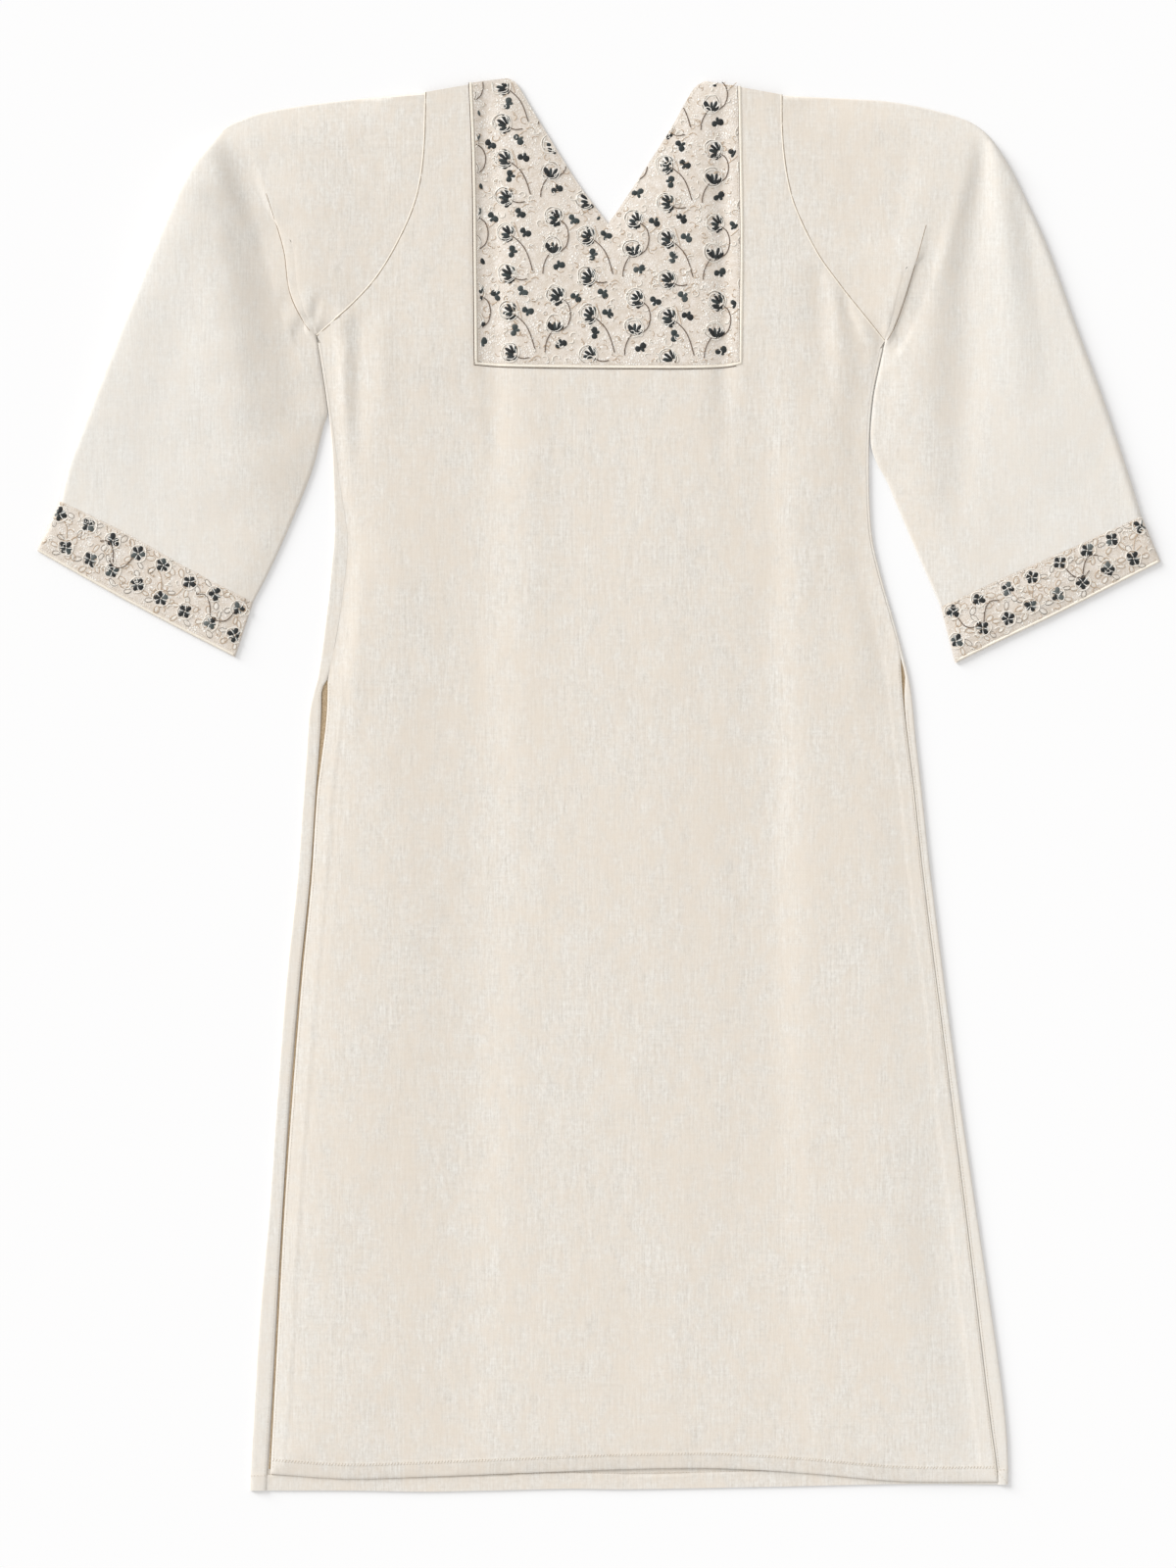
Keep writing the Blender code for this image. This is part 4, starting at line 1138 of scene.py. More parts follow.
def make_sleeve(side, material):
    """A sleeve from its armhole seam to the cuff, with its fold."""
    sleeve = Sleeve(side)
    columns, lower_shares = tube_columns()
    folded = np.interp(columns, *zip(*TUCKS[side]))
    stations = sleeve.stations()
    bases, uppers, weights = [], [], []
    for station in stations:
        for across, share in zip(columns, folded):
            uppers.append(sleeve.place(station, across, share))
            bases.append(sleeve.fold.at(across))
            weights.append(sleeve.at_fold(station))
    places = np.array([tuple(place) for place, _ in uppers])
    lifts = np.array([lift for _, lift in uppers])
    weights = np.array(weights)
    at_fold = upper_height([tuple(base) for base in bases[:len(columns)]])
    own = np.where(weights < 1.0, upper_height(places), 0.0)
    heights = own * (1 - weights) + np.tile(at_fold, len(stations)) * weights + lifts
    rings = []
    for number, station in enumerate(stations):
        start = number * len(columns)
        upper = [(Vector(places[start + i]), heights[start + i]) for i in range(len(columns))]
        lower = [sleeve.place(station, across, 0.0)[0] for across in lower_shares]
        rings.append(ring_points(upper, lower, sleeve.edges(station)))
    return make_tube("sleeve_cloth_" + side, rings, material, gathered=ARMHOLE_STATIONS + 1)


class Cuff:
    """Places on one flattened cuff, from the underarm to the upper edge and from its seam to its hem."""

    def __init__(self, side):
        shape = SLEEVES[side]
        self.seam = Path(shape["cuff seam"])
        self.hem = Path(shape["cuff hem"])
        self.depth = (self.hem.at(0.5) - self.seam.at(0.5)).length

    def at(self, across, share):
        """A place on the cuff."""
        return self.seam.at(across).lerp(self.hem.at(across), share)


def make_cuff(side, material):
    """A cuff, a flattened band just clear of the sleeve's end."""
    cuff = Cuff(side)
    inner, outer = Path((cuff.at(0, 0), cuff.at(0, 1))), Path((cuff.at(1, 0), cuff.at(1, 1)))
    columns, lower_shares = tube_columns()
    gap = ARMHOLE_GAP / cuff.depth
    shares = gap + (1 - gap) * edge_shares(CUFF_STATIONS, GATHER)
    rings = []
    for share in shares:
        upper = [cuff.at(across, share) for across in columns]
        heights = upper_height([tuple(place) for place in upper])
        lower = [cuff.at(across, share) for across in lower_shares]
        edges = [(line.at(share), inward(line, share, cuff.at(0.5, share))) for line in (inner, outer)]
        rings.append(ring_points(list(zip(upper, heights)), lower, edges))
    return make_tube("cuff_cloth_" + side, rings, material)


# ---- nodes


class Value:
    """The output of a node; Python's operators add Math nodes to the same tree."""

    def __init__(self, nodes, socket):
        self.nodes = nodes
        self.socket = socket

    def __add__(self, other):
        return self.nodes.math("ADD", self, other)

    def __sub__(self, other):
        return self.nodes.math("SUBTRACT", self, other)

    def __mul__(self, other):
        return self.nodes.math("MULTIPLY", self, other)

    def __radd__(self, other):
        return self.nodes.math("ADD", other, self)

    def __rsub__(self, other):
        return self.nodes.math("SUBTRACT", other, self)

    def __rmul__(self, other):
        return self.nodes.math("MULTIPLY", other, self)

    def also(self, name):
        """Another output of the same node."""
        return Value(self.nodes, self.socket.node.outputs[name])

    def wave(self):
        """Its sine."""
        return self.nodes.math("SINE", self)

    def size(self):
        """Its value without its sign."""
        return self.nodes.math("ABSOLUTE", self)

    def between(self, low, high):
        """0 at low, 1 at high, and smooth between."""
        return self.nodes.add(
            "ShaderNodeMapRange", {"interpolation_type": "SMOOTHSTEP"},
            {0: self, 1: low, 2: high},
        )


class Nodes:
    """A node tree that is written as Python expressions."""

    def __init__(self, tree):
        self.tree = tree

    def add(self, kind, settings=None, values=None, output=0):
        """Adds one node: its settings first, then the values or links of its sockets."""
        node = self.tree.nodes.new(kind)
        for name, setting in (settings or {}).items():
            setattr(node, name, setting)
        for name, value in (values or {}).items():
            self.feed(node.inputs[name], value)
        return Value(self, node.outputs[output]) if len(node.outputs) else node

    def feed(self, socket, value):
        """Links a value to a socket, or sets it there when it is a plain one."""
        if isinstance(value, Value):
            self.tree.links.new(value.socket, socket)
        else:
            socket.default_value = value

    def math(self, operation, *values):
        """A Math node on values and numbers."""
        return self.add("ShaderNodeMath", {"operation": operation}, dict(enumerate(values)))


class Finish(Nodes):
    """One material."""

    def __init__(self, name, roughness, **uniform):
        self.material = bpy.data.materials.new(name)
        self.material.use_nodes = True
        super().__init__(self.material.node_tree)
        self.shader = self.tree.nodes["Principled BSDF"]
        self.shader.inputs["Roughness"].default_value = roughness
        for name, value in uniform.items():
            self.shader.inputs[name.replace("_", " ")].default_value = value

    def set(self, socket, value):
        """Gives one socket of the material's shader its value."""
        self.feed(self.shader.inputs[socket], value)

    def mix(self, share, first, second):
        """A colour between two others."""
        return self.add(
            "ShaderNodeMix", {"data_type": "RGBA"}, {0: share, 6: first, 7: second}, output=2,
        )

    def place(self, across, along):
        """Places on the piece's own weave, stretched by a scale across and along it."""
        weave = self.add("ShaderNodeUVMap", {"uv_map": "weave"})
        return self.add("ShaderNodeMapping", {}, {"Vector": weave, "Scale": (across, along, 1.0)})

    def cloud(self, across, along, detail, roughness, distortion=0.0):
        """Soft noise between 0 and 1 on the weave, with so many turns a metre each way."""
        return self.add("ShaderNodeTexNoise", {}, {
            "Vector": self.place(across, along), "Scale": 1.0, "Detail": detail,
            "Roughness": roughness, "Distortion": distortion,
        })

    def bump(self, height, strength, distance):
        """Fine relief on the surface."""
        self.set("Normal", self.add(
            "ShaderNodeBump", {}, {"Strength": strength, "Distance": distance, "Height": height},
        ))


def linear(red, green, blue):
    """A screen colour, 0 to 255, as the shader's own."""
    return tuple(((c / 255 + 0.055) / 1.055) ** 2.4 for c in (red, green, blue)) + (1.0,)


class Maker(Nodes):
    """A Geometry Nodes tree with named inputs, which turns a mesh of routes or points into pieces."""

    def __init__(self, name, **sizes):
        super().__init__(bpy.data.node_groups.new(name, "GeometryNodeTree"))
        sockets = self.tree.interface
        self.sockets = {}
        for label, kind in {"Geometry": "Geometry", **sizes, "Finish": "Material"}.items():
            self.sockets[label] = sockets.new_socket(label, in_out="INPUT", socket_type="NodeSocket" + kind)
        sockets.new_socket("Geometry", in_out="OUTPUT", socket_type="NodeSocketGeometry")
        self.start = self.tree.nodes.new("NodeGroupInput")

    def given(self, name):
        """One of the tree's own inputs."""
        return Value(self, self.start.outputs[name])

    def end(self, geometry):
        """The last nodes: real meshes, smooth, with their finish."""
        real = self.add("GeometryNodeRealizeInstances", {}, {"Geometry": geometry})
        smooth = self.add("GeometryNodeSetShadeSmooth", {}, {"Geometry": real})
        done = self.add("GeometryNodeSetMaterial", {}, {"Geometry": smooth, "Material": self.given("Finish")})
        out = self.tree.nodes.new("NodeGroupOutput")
        self.feed(out.inputs[0], done)

    def run(self, name, routes, material, **sizes):
        """Makes one piece from routes, each a list of places in millimetres."""
        points, edges = [], []
        for route in routes:
            first = len(points)
            points += [(x * MM, y * MM, z * MM) for x, y, z in route]
            edges += [(i, i + 1) for i in range(first, len(points) - 1)]
        mesh = bpy.data.meshes.new(name)
        mesh.from_pydata(points, edges, [])
        return self.grow(name, mesh, material, **sizes)

    def grow(self, name, mesh, material, **sizes):
        """Puts a mesh through the tree and keeps what it makes as plain mesh."""
        made = place_in_scene(name, mesh)
        growth = made.modifiers.new("growth", "NODES")
        growth.node_group = self.tree
        for size, value in {**sizes, "Finish": material}.items():
            growth[self.sockets[size].identifier] = value
        settle(made)
        made.data.materials.clear()
        made.data.materials.append(material)
        return made


def make_thread_tree():
    """Threads and cords along routes."""
    tree = Maker("thread", Radius="Float", Sides="Int", Flat="Float")
    lines = tree.add("GeometryNodeMeshToCurve", {}, {"Mesh": tree.given("Geometry")})
    upright = tree.add("GeometryNodeSetCurveNormal", {"mode": "Z_UP"}, {"Curve": lines})
    ring = tree.add(
        "GeometryNodeCurvePrimitiveCircle", {},
        {"Resolution": tree.given("Sides"), "Radius": tree.given("Radius")},
    )
    squeeze = tree.add("ShaderNodeCombineXYZ", {}, {"X": 1.0, "Y": tree.given("Flat"), "Z": 1.0})
    oval = tree.add("GeometryNodeTransform", {}, {"Geometry": ring, "Scale": squeeze})
    tubes = tree.add(
        "GeometryNodeCurveToMesh", {}, {"Curve": upright, "Profile Curve": oval, "Fill Caps": True},
    )
    tree.end(tubes)
    return tree


def make_stitch_tree():
    """Short stitches at an even spacing along routes, turned by an angle from them."""
    tree = Maker("stitches", Spacing="Float", Length="Float", Width="Float", Turn="Float")
    lines = tree.add("GeometryNodeMeshToCurve", {}, {"Mesh": tree.given("Geometry")})
    spots = tree.add(
        "GeometryNodeCurveToPoints", {"mode": "LENGTH"}, {"Curve": lines, "Length": tree.given("Spacing")},
    )
    facing = tree.add(
        "FunctionNodeAlignRotationToVector", {"axis": "X", "pivot_axis": "Z"},
        {"Vector": spots.also("Tangent")},
    )
    spin = tree.add("ShaderNodeCombineXYZ", {}, {"Z": tree.given("Turn")})
    turned = tree.add("FunctionNodeRotateRotation", {"rotation_space": "LOCAL"}, {0: facing, 1: spin})
    grain = tree.add("GeometryNodeMeshUVSphere", {}, {"Segments": 6, "Rings": 4, "Radius": 0.5})
    size = tree.add(
        "ShaderNodeCombineXYZ", {},
        {"X": tree.given("Length"), "Y": tree.given("Width"), "Z": tree.given("Width")},
    )
    placed = tree.add(
        "GeometryNodeInstanceOnPoints", {},
        {"Points": spots, "Instance": grain, "Rotation": turned, "Scale": size},
    )
    tree.end(placed)
    return tree


def make_petal_tree():
    """Satin-stitched petals: one on each point, with its own turn, size and shade."""
    tree = Maker("petals", Taper="Float")
    ball = tree.add("GeometryNodeMeshUVSphere", {}, {"Segments": 10, "Rings": 4})
    spot = tree.add("GeometryNodeInputPosition")
    across = tree.add("ShaderNodeSeparateXYZ", {}, {"Vector": spot})
    along, height = across.also("Y"), across.also("Z")
    wide = across * (1.0 + along * tree.given("Taper"))
    shaped = tree.add("ShaderNodeCombineXYZ", {}, {"X": wide, "Y": along + 1.0, "Z": height})
    petal = tree.add("GeometryNodeSetPosition", {}, {"Geometry": ball, "Position": shaped})
    marked = tree.add(
        "GeometryNodeStoreNamedAttribute", {"data_type": "FLOAT_VECTOR"},
        {"Geometry": petal, "Name": "satin", "Value": shaped},
    )
    turn = tree.add("GeometryNodeInputNamedAttribute", {"data_type": "FLOAT_VECTOR"}, {"Name": "turn"})
    size = tree.add("GeometryNodeInputNamedAttribute", {"data_type": "FLOAT_VECTOR"}, {"Name": "size"})
    facing = tree.add("FunctionNodeEulerToRotation", {}, {"Euler": turn})
    placed = tree.add(
        "GeometryNodeInstanceOnPoints", {},
        {"Points": tree.given("Geometry"), "Instance": marked, "Rotation": facing, "Scale": size},
    )
    tree.end(placed)
    return tree


THREAD = make_thread_tree()
STITCH = make_stitch_tree()
PETAL = make_petal_tree()

# ---- sewing

HEM_SPOTS = 120  # places along a hem's row of stitches
SIDE_SPACING = 6  # from place to place along a slit's row
STITCH_OUT = 0.12  # how far a row's middle stands out of the cloth


def hem_route(hem, inset, trim):
    """A row of stitches beside a hem, short of both of its ends."""
    path = Path(hem)
    left = path.points[0].x + trim
    right = path.points[-1].x - trim
    across = np.linspace(left, right, HEM_SPOTS)
    return [(x, y + inset) for x, y in zip(across, path.along(across))]


def side_route(side, column, inset, low, high):
    """A row of stitches beside a slit or a side seam; a positive inset goes into the cloth."""
    parts = SIDES[side]
    path = side_path(parts["side"], column)
    along = np.linspace(low, high, max(int((high - low) / SIDE_SPACING), 3))
    return [(x - parts["out"] * inset, y) for x, y in zip(path.across(along), along)]


def lay(name, routes, material, radius, flat=0.6, sides=8):
    """Thread or cord along some routes."""
    return THREAD.run(name, routes, material, Radius=radius * MM, Sides=sides, Flat=flat)


def sew(name, routes, material, spacing=2.4, length=1.9, width=0.42, turn=0.0):
    """Stitches along some routes."""
    return STITCH.run(
        name, routes, material,
        Spacing=spacing * MM, Length=length * MM, Width=width * MM, Turn=math.radians(turn),
    )


def level(route, height):
    """A route of places, all at one height."""
    return [(x, y, height) for x, y in route]


# Stitches across the turned-up strips at the back's hem corners.
HEM_CORNERS = (
    ((-291, -577.5), (-279.5, -577.5)),
    ((332.5, -572.5), (341.5, -572.5)),
    ((333.5, -574), (341, -583)),
)


# The dark line in the crease beside each sleeve's fold is painted shade.
CREASE_OUT = 0.3  # how far past a fold's edge its dark line lies
#    shares across the sleeve where that line starts and ends
CREASE_SPAN = {"right": (0.04, 0.66), "left": (0.02, 0.52)}
#       name, radius and lift of an armhole seam's line and of the darker line of painted shadow beside it
SEAM_LINES = (("seam", 0.55, -0.05), ("ditch", 0.24, 0.02))
SEAM_APART = 0.75
# Painted shade in the hollow that opens at the top of each slit, a flat tan band: its height, half its width
# and its middle line.
HOLLOW_HEIGHT = 1.14
HOLLOW_WIDTHS = {"right": 2.7, "left": 2.3}
SLIT_HOLLOWS = {
    "right": ((-228.6, 88), (-229.1, 80), (-229.6, 62), (-230.8, 46), (-232.6, 28), (-234.6, 8)),
    "left": ((252.6, 106), (253.9, 98), (254.8, 90), (254.9, 78), (255.5, 66), (257.5, 45), (260, 26)),
}


def make_seam_lines(material, shade_material):
    """The turned edge of each armhole seam, as a fine raised line, with a darker line of painted shadow
    beside it.
    """
    made = []
    for side, parts in SIDES.items():
        places = path_route(parts["armhole"])
        routes = (places, border_offset(places, SEAM_APART))
        for (name, radius, lift), route, finish in zip(SEAM_LINES, routes, (material, shade_material)):
            route = on_top(upper_height, route, LINEN / 2 + lift)
            made.append(lay("armhole_" + name + "_" + side, [route], finish, radius))
    return made


def make_fold_lines(side, material):
    """The painted shade down in the crease beside a sleeve's fold, as a thin dark line."""
    sleeve = Sleeve(side)
    route = []
    for across in np.linspace(*CREASE_SPAN[side], 70):
        profile = tuck_profile(float(np.interp(across, *zip(*TUCKS[side]))))[::-1]
        lifts = [
            a[1] + (b[1] - a[1]) * (a[0] - CREASE_OUT) / (a[0] - b[0])
            for a, b in zip(profile, profile[1:]) if b[0] <= CREASE_OUT <= a[0]
        ]
        lift = lifts[0] if lifts else 0.0
        base = float(upper_height([tuple(sleeve.fold.at(across))])[0])
        place = sleeve.past_fold(across, CREASE_OUT, CREASE_OUT)
        route.append((place[0], place[1], base + lift + LINEN / 2 + 0.02))
    return lay("painted_crease_shade_" + side, [route], material, 0.24, 0.7)


def make_slit_lines(material, shade_material):
    """The pressed edge of the left slit, and painted shade: a tan line in the right slit's gap and a flat tan
    band in both hollows.
    """
    edge = side_route("left", FRONT_EDGE, 0.5, -578.0, 96.0)
    made = [lay("slit_edge_left", [on_top(front_height, edge, HEM / 2 - 0.3)], material, 0.5)]
    # painted shade: a tan line lying in the right slit's gap
    gap = [
        (x, y, 1.1 + 0.2 * noise.noise((0.0, y / 17.0, 2.0)))
        for x, y in side_route("right", FRONT_EDGE, -0.9, -572.0, 86.0)
    ]
    made.append(lay("painted_slit_gap_shade_right", [gap], shade_material, 0.8, 0.4))
    # painted shade: a flat tan band in the hollow at each slit's top
    for side, width in HOLLOW_WIDTHS.items():
        hollow = level(path_route(SLIT_HOLLOWS[side]), HOLLOW_HEIGHT)
        made.append(lay("slit_facing_" + side, [hollow], shade_material, width, 0.1, 10))
    return made


def make_sewing(material):
    """The machine stitching on each sewn piece; returns the rows of the front, back and yoke."""
    top = LINEN / 2
    front_rows = [on_top(front_height, hem_route(FRONT_HEM, HEM_WIDTH - 0.6, 3.0), HEM / 2)]
    front_rows += [
        on_top(front_height, side_route(side, FRONT_EDGE, 1.8, low, high), HEM / 2)
        for side, low, high in (("right", -570.0, 84.0), ("left", -576.0, 100.0))
    ]
    hem_top = LOW + (HEM - LINEN) / 2 + STITCH_OUT + top
    back_rows = [level(hem_route(BACK_HEM, HEM_WIDTH + 0.8, 14.0), hem_top)]
    strip_top = HIGH + STITCH_OUT + top
    for side, low, high in (("right", -576.0, 84.0), ("left", -570.0, 62.0)):
        back_rows.append(level(side_route(side, TURNED_EDGE, -1.6, low, high), strip_top))
    for row in HEM_CORNERS:
        back_rows.append(level(path_route(row, step=2.0), strip_top + 0.35))
    yoke_rows = []
    for side, parts in SIDES.items():
        neck = [(x + parts["out"] * 2.2, y - 0.6) for x, y in parts["neck"]]
        yoke_rows.append(on_top(yoke_height, path_route(neck, 0.03, 0.97), top))
    border = border_offset(yoke_border(), -1.6)
    yoke_rows.append(on_top(yoke_height, border[1:-1], top))
    return (
        sew("front_hem_stitches", front_rows[:1], material, 2.6, 3.2, 0.55, 62.0),
        sew("front_edge_stitches", front_rows[1:], material),
        sew("back_hem_stitches", back_rows, material),
        sew("yoke_stitches", yoke_rows, material, 2.2, 1.7, 0.4),
    )


def make_cuff_sewing(side, material, rim_material):
    """The rows of stitches beside the cuff's seam and its hem, and the hem's turned edge."""
    cuff = Cuff(side)
    rows = []
    for share in (0.035, 0.915):
        places = [tuple(cuff.at(across, share)) for across in np.linspace(0.02, 0.98, 70)]
        rows.append(on_top(upper_height, places, LINEN / 2))
    edge = [tuple(cuff.at(across, 0.975)) for across in np.linspace(0.012, 0.988, 70)]
    edge = on_top(upper_height, edge, LINEN / 2 + 0.1)
    return (
        sew("cuff_stitches_" + side, rows, material, 2.2, 1.7, 0.45),
        lay("cuff_rim_" + side, [edge], rim_material, 1.0, 0.5),
    )


# ---- embroidery

# One repeat of the yoke's sprigs.  Places are from the repeat's first bloom.
REPEAT = (68, 65.6)
FIRST_BLOOM = (31.5, 405.5)
#    kind     across  along  turn
BLOOMS = (("open", 0, 0, 0), ("tulip", -1.5, -25, 0), ("open", 27, -15, 4), ("open", 27, -49.4, 10))
#    across  along  turn of its two lobes
LEAF_PAIRS = ((16.5, -1.5, -36), (3, -41, 24), (43.4, -13.6, -24), (31.6, -30.6, 86), (39.6, -62.8, -50))
STEMS = (
    ((4.5, -2.6), (9.6, -6.6), (11.8, -15), (9.6, -24), (4.6, -29)),
    ((-4.4, -30.4), (-8, -36), (-10.2, -42), (-10.9, -48)),
    ((31, -16.8), (36, -20.4), (41.6, -26.4), (45.4, -34.6), (48.6, -46)),
    ((31.6, -51.2), (34.6, -53.2), (38.6, -53.8), (43.6, -52.8)),
)
FINE_STEMS = (
    ((19.5, -4.6), (16, -8), (12.6, -10.6)),
    ((34, -6), (37.4, -17), (38, -20.6)),
    ((46.8, -53), (50.6, -51), (53.4, -52.8)),
    ((41, -58.6), (44, -55.6), (47, -54.6)),
)
# Petals of a bloom: place of the base, turn from across, length, width, shade from dark to pale.
PETALS = {
    "open": (
        (3.4, -3, 196, 7.6, 4.6, 0.04), (3.2, -2, 164, 8.2, 3.4, 0.24), (3.2, -1.4, 136, 8.8, 3, 0.02),
        (3.6, -1.2, 110, 8.6, 2.8, 0.1), (4.2, -1.4, 82, 7.2, 2.6, 0.36), (3.2, -3.2, 236, 5.6, 3.8, 0.04),
        (3.4, -2.6, 275, 4, 3.4, 0.02),
    ),
    "tulip": (
        (-0.6, -5.2, 122, 9.6, 4.4, 0.04), (0, -5, 96, 8.4, 2.8, 0.26), (0.6, -4.8, 68, 8.8, 2.8, 0.08),
        (0.6, -5.2, 36, 8.2, 4.2, 0.04), (0, -6, 80, 4.4, 4.4, 0.02),
    ),
}
PALE_PETALS = {
    "open": (
        (3, -1.8, 180, 9.6, 1.3), (3, -1.6, 150, 10.2, 1.4), (3.4, -1, 123, 10.4, 1.3),
        (4, -0.8, 96, 9.2, 1.2), (2.6, -4, 214, 7.4, 1.3),
    ),
    "tulip": ((-0.6, -5, 109, 10.2, 1.3), (0.4, -4.8, 82, 9.8, 1.3), (1, -4.8, 52, 9.6, 1.3)),
}
PETAL_TAPER = 0.22
LEAVES = 5  # outlined leaves round each clover
CLOVERS_PER_ROW = 8
#    share from seam to hem, first clover's share across, step to the next
CLOVER_ROWS = ((0.19, 0.045, 0.132), (0.68, 0.028, 0.123))
# How many curls of thread and little leaves are strewn between the flowers, and how near an edge.
CURLS = {"yoke": 900, "cuff": 150}
SPECKS = {"yoke": 240, "cuff": 40}
STREWN_IN = 1.5
CURL_THREADS = ("white", "tan", "white", "fine", "tan")
LEAF_THREADS = ("tan", "grey", "fine")
SEEDS = {"yoke": 11, "right": 23, "left": 37}
#    kind of thread: its finish and its radius
THREADS = {
    "stem": ("brown_thread", 0.42), "fine": ("tan_thread", 0.27), "white": ("white_thread", 0.4),
    "tan": ("tan_thread", 0.22), "grey": ("grey_thread", 0.18),
}
SATINS = {"dark": "dark_satin_thread", "pale": "white_satin_thread"}


def beside(place, angle, reach, squash=1.0):
    """A place at a distance from another one, at an angle in radians."""
    return (place[0] + reach * math.cos(angle), place[1] + reach * squash * math.sin(angle))


def turned(place, x, y, turn, scale):
    """A place at x and y from another one, turned in degrees and scaled about it."""
    cosine, sine = math.cos(math.radians(turn)), math.sin(math.radians(turn))
    return (place[0] + scale * (x * cosine - y * sine), place[1] + scale * (x * sine + y * cosine))


class Needlework:
    """Gathers petals and threads on one embroidered piece."""

    def __init__(self, height, room, seed):
        self.height = height
        self.room = room
        self.chance = random.Random(seed)
        self.some = self.chance.uniform
        self.petals = {kind: [] for kind in SATINS}
        self.lines = {kind: [] for kind in THREADS}

    def petal(self, kind, base, turn, length, width, shade, lift=0.25):
        """One satin petal; what would pass the piece's edge is left out."""
        turn = math.radians(turn)
        way = heading(turn)
        base = Vector(base)
        spots = [base + way * length * step / 8 for step in range(9)]
        kept = [spot for spot in spots if self.room(spot) > 0.4 + 0.3 * width]
        if len(kept) > 3:
            self.petals[kind].append((kept[0], turn, length * (len(kept) - 1) / 8, width, shade, lift))

    def line(self, kind, points):
        """One thread, without the parts that would pass the piece's edge."""
        kept = []
        for place in (*path_route(points, step=1.1), None):
            if place and self.room(Vector(place)) > 0.3:
                kept.append(place)
                continue
            if len(kept) > 2:
                self.lines[kind].append(kept)
            kept = []

    def bloom(self, kind, place, turn, scale):
        """A large flower: dark petals, pale ones between them, and loose rings of thread."""
        spin = turn + self.some(-7, 7)
        for x, y, angle, length, width, shade in PETALS[kind]:
            base = turned(place, x, y, spin, scale)
            size = scale * self.some(0.9, 1.1)
            shade = min(max(shade + self.some(-0.06, 0.12), 0.0), 1.0)
            self.petal("dark", base, angle + spin + self.some(-5, 5), length * size,
                       width * size, shade, 0.34)
        for x, y, angle, length, width in PALE_PETALS[kind]:
            self.petal("pale", turned(place, x, y, spin, scale), angle + spin, length * scale, width * scale,
                       self.some(0.5, 1.0), 0.2)
        middle = (place[0] - 0.6, place[1] + 0.6)
        self.halo("white", middle, 8.0)
        self.halo("white", middle, 6.4)
        self.halo("grey", middle, 7.3)

    def clover(self, place, turn):
        """A small round flower of dark petals over grey ones, in a ring of outlined leaves."""
        count = self.chance.choice((3, 4, 4, 5))
        for i in range(count):
            angle = turn + i * 356 / count + self.some(-10, 10)
            way = heading(math.radians(angle))
            size = self.some(0.85, 1.1)
            grey = self.chance.random() < 0.2
            self.petal("dark", place + way * 0.3, angle, 6.2 * size, (5.8 - count * 0.35) * size,
                       self.some(0.45, 0.6) if grey else self.some(0.0, 0.1), 0.36)
            self.petal("dark", place + way * 0.3, angle + 180 / count, 5.2 * size, 3.2,
                       self.some(0.3, 0.8), 0.26)
            self.petal("pale", place + way * 0.6, angle + 200 / count, 5.8, 0.9, 0.7, 0.34)
        self.halo("white", place, 6.8)
        self.spray(place, 6.8)

    def leaf_pair(self, place, turn, scale=1.0):
        """Two round lobes and a small bud."""
        turn += self.some(-10, 10)
        shade = self.chance.choice((0.10, 0.16, 0.24, 0.30, 0.38))
        for way, size in ((0.0, 1.0), (180.0, 0.92)):
            angle = math.radians(turn + way)
            self.petal("dark", beside(place, angle, -0.7), turn + way, 6.4 * size * scale, 6.0 * size * scale,
                       shade + self.some(-0.05, 0.1), 0.34)
        self.petal("dark", place, turn + self.chance.choice((80.0, -80.0)), 5.0 * scale, 3.0 * scale,
                   shade + 0.1, 0.3)
        self.petal("pale", place, turn + self.chance.choice((110.0, -110.0)), 5.6 * scale, 1.2 * scale,
                   0.8, 0.2)

    def halo(self, kind, place, radius):
        """A loose ring of thread round a flower."""
        start = self.some(0, math.tau)
        self.line(kind, [
            beside(place, start + 5.4 * i / 8, radius * self.some(0.9, 1.1)) for i in range(9)
        ])

    def leaf(self, kind, place, turn, length, width):
        """A pale leaf in a thin outline."""
        turn = math.radians(turn)
        way, side = heading(turn), Vector((-math.sin(turn), math.cos(turn)))
        self.petal("pale", place, math.degrees(turn), length, width, self.some(0.0, 0.4), 0.14)
        points = []
        for i in range(9):
            angle = math.tau * i / 8.6
            swell = width / 2 * math.sin(angle) * (1.1 - 0.2 * math.cos(angle))
            points.append(tuple(Vector(place) + way * (length / 2 * (1 - math.cos(angle))) + side * swell))
        self.line(kind, points)

    def spray(self, place, reach):
        """Outlined leaves round a flower."""
        start = self.some(0, 360)
        for i in range(LEAVES):
            way = math.radians(start + (360 * i + self.some(-90, 90)) / LEAVES)
            spot = Vector(place) + heading(way) * reach
            self.leaf(LEAF_THREADS[i % 3], spot, math.degrees(way) + self.some(-60, 60),
                      self.some(5.4, 8.2), self.some(2.8, 4.2))

    def curl(self, kind, place):
        """A small curl of thread that turns most of the way round."""
        radius = self.some(1.2, 4.6)
        start = self.some(0, math.tau)
        sweep = self.chance.choice((-1, 1)) * self.some(1.8, 4.6)
        stretch = self.some(0.6, 1.0)
        self.line(kind, [
            beside(place, start + sweep * i / 5, radius * (1 - 0.11 * i), stretch) for i in range(6)
        ])

    def speck(self, place):
        """A little leaf of white thread."""
        self.petal("pale", place, self.some(0, 360), self.some(1.6, 4.2),
                   self.some(0.8, 1.9), self.some(0.3, 1.0), 0.16)

    def make(self, name, finishes):
        """The finished petals and threads, as one mesh of each kind."""
        made = []
        for kind, petals in self.petals.items():
            made.append(PETAL.grow(
                name + "_" + kind + "_petals", self.petal_points(name + kind, petals),
                finishes[SATINS[kind]], Taper=PETAL_TAPER,
            ))
        for kind, (finish, radius) in THREADS.items():
            lift = LINEN / 2 + radius * 0.4
            routes = [on_top(self.height, line, lift) for line in self.lines[kind]]
            if routes:
                made.append(lay(name + "_" + kind + "_threads", routes, finishes[finish], radius, 1.0, 5))
        return made

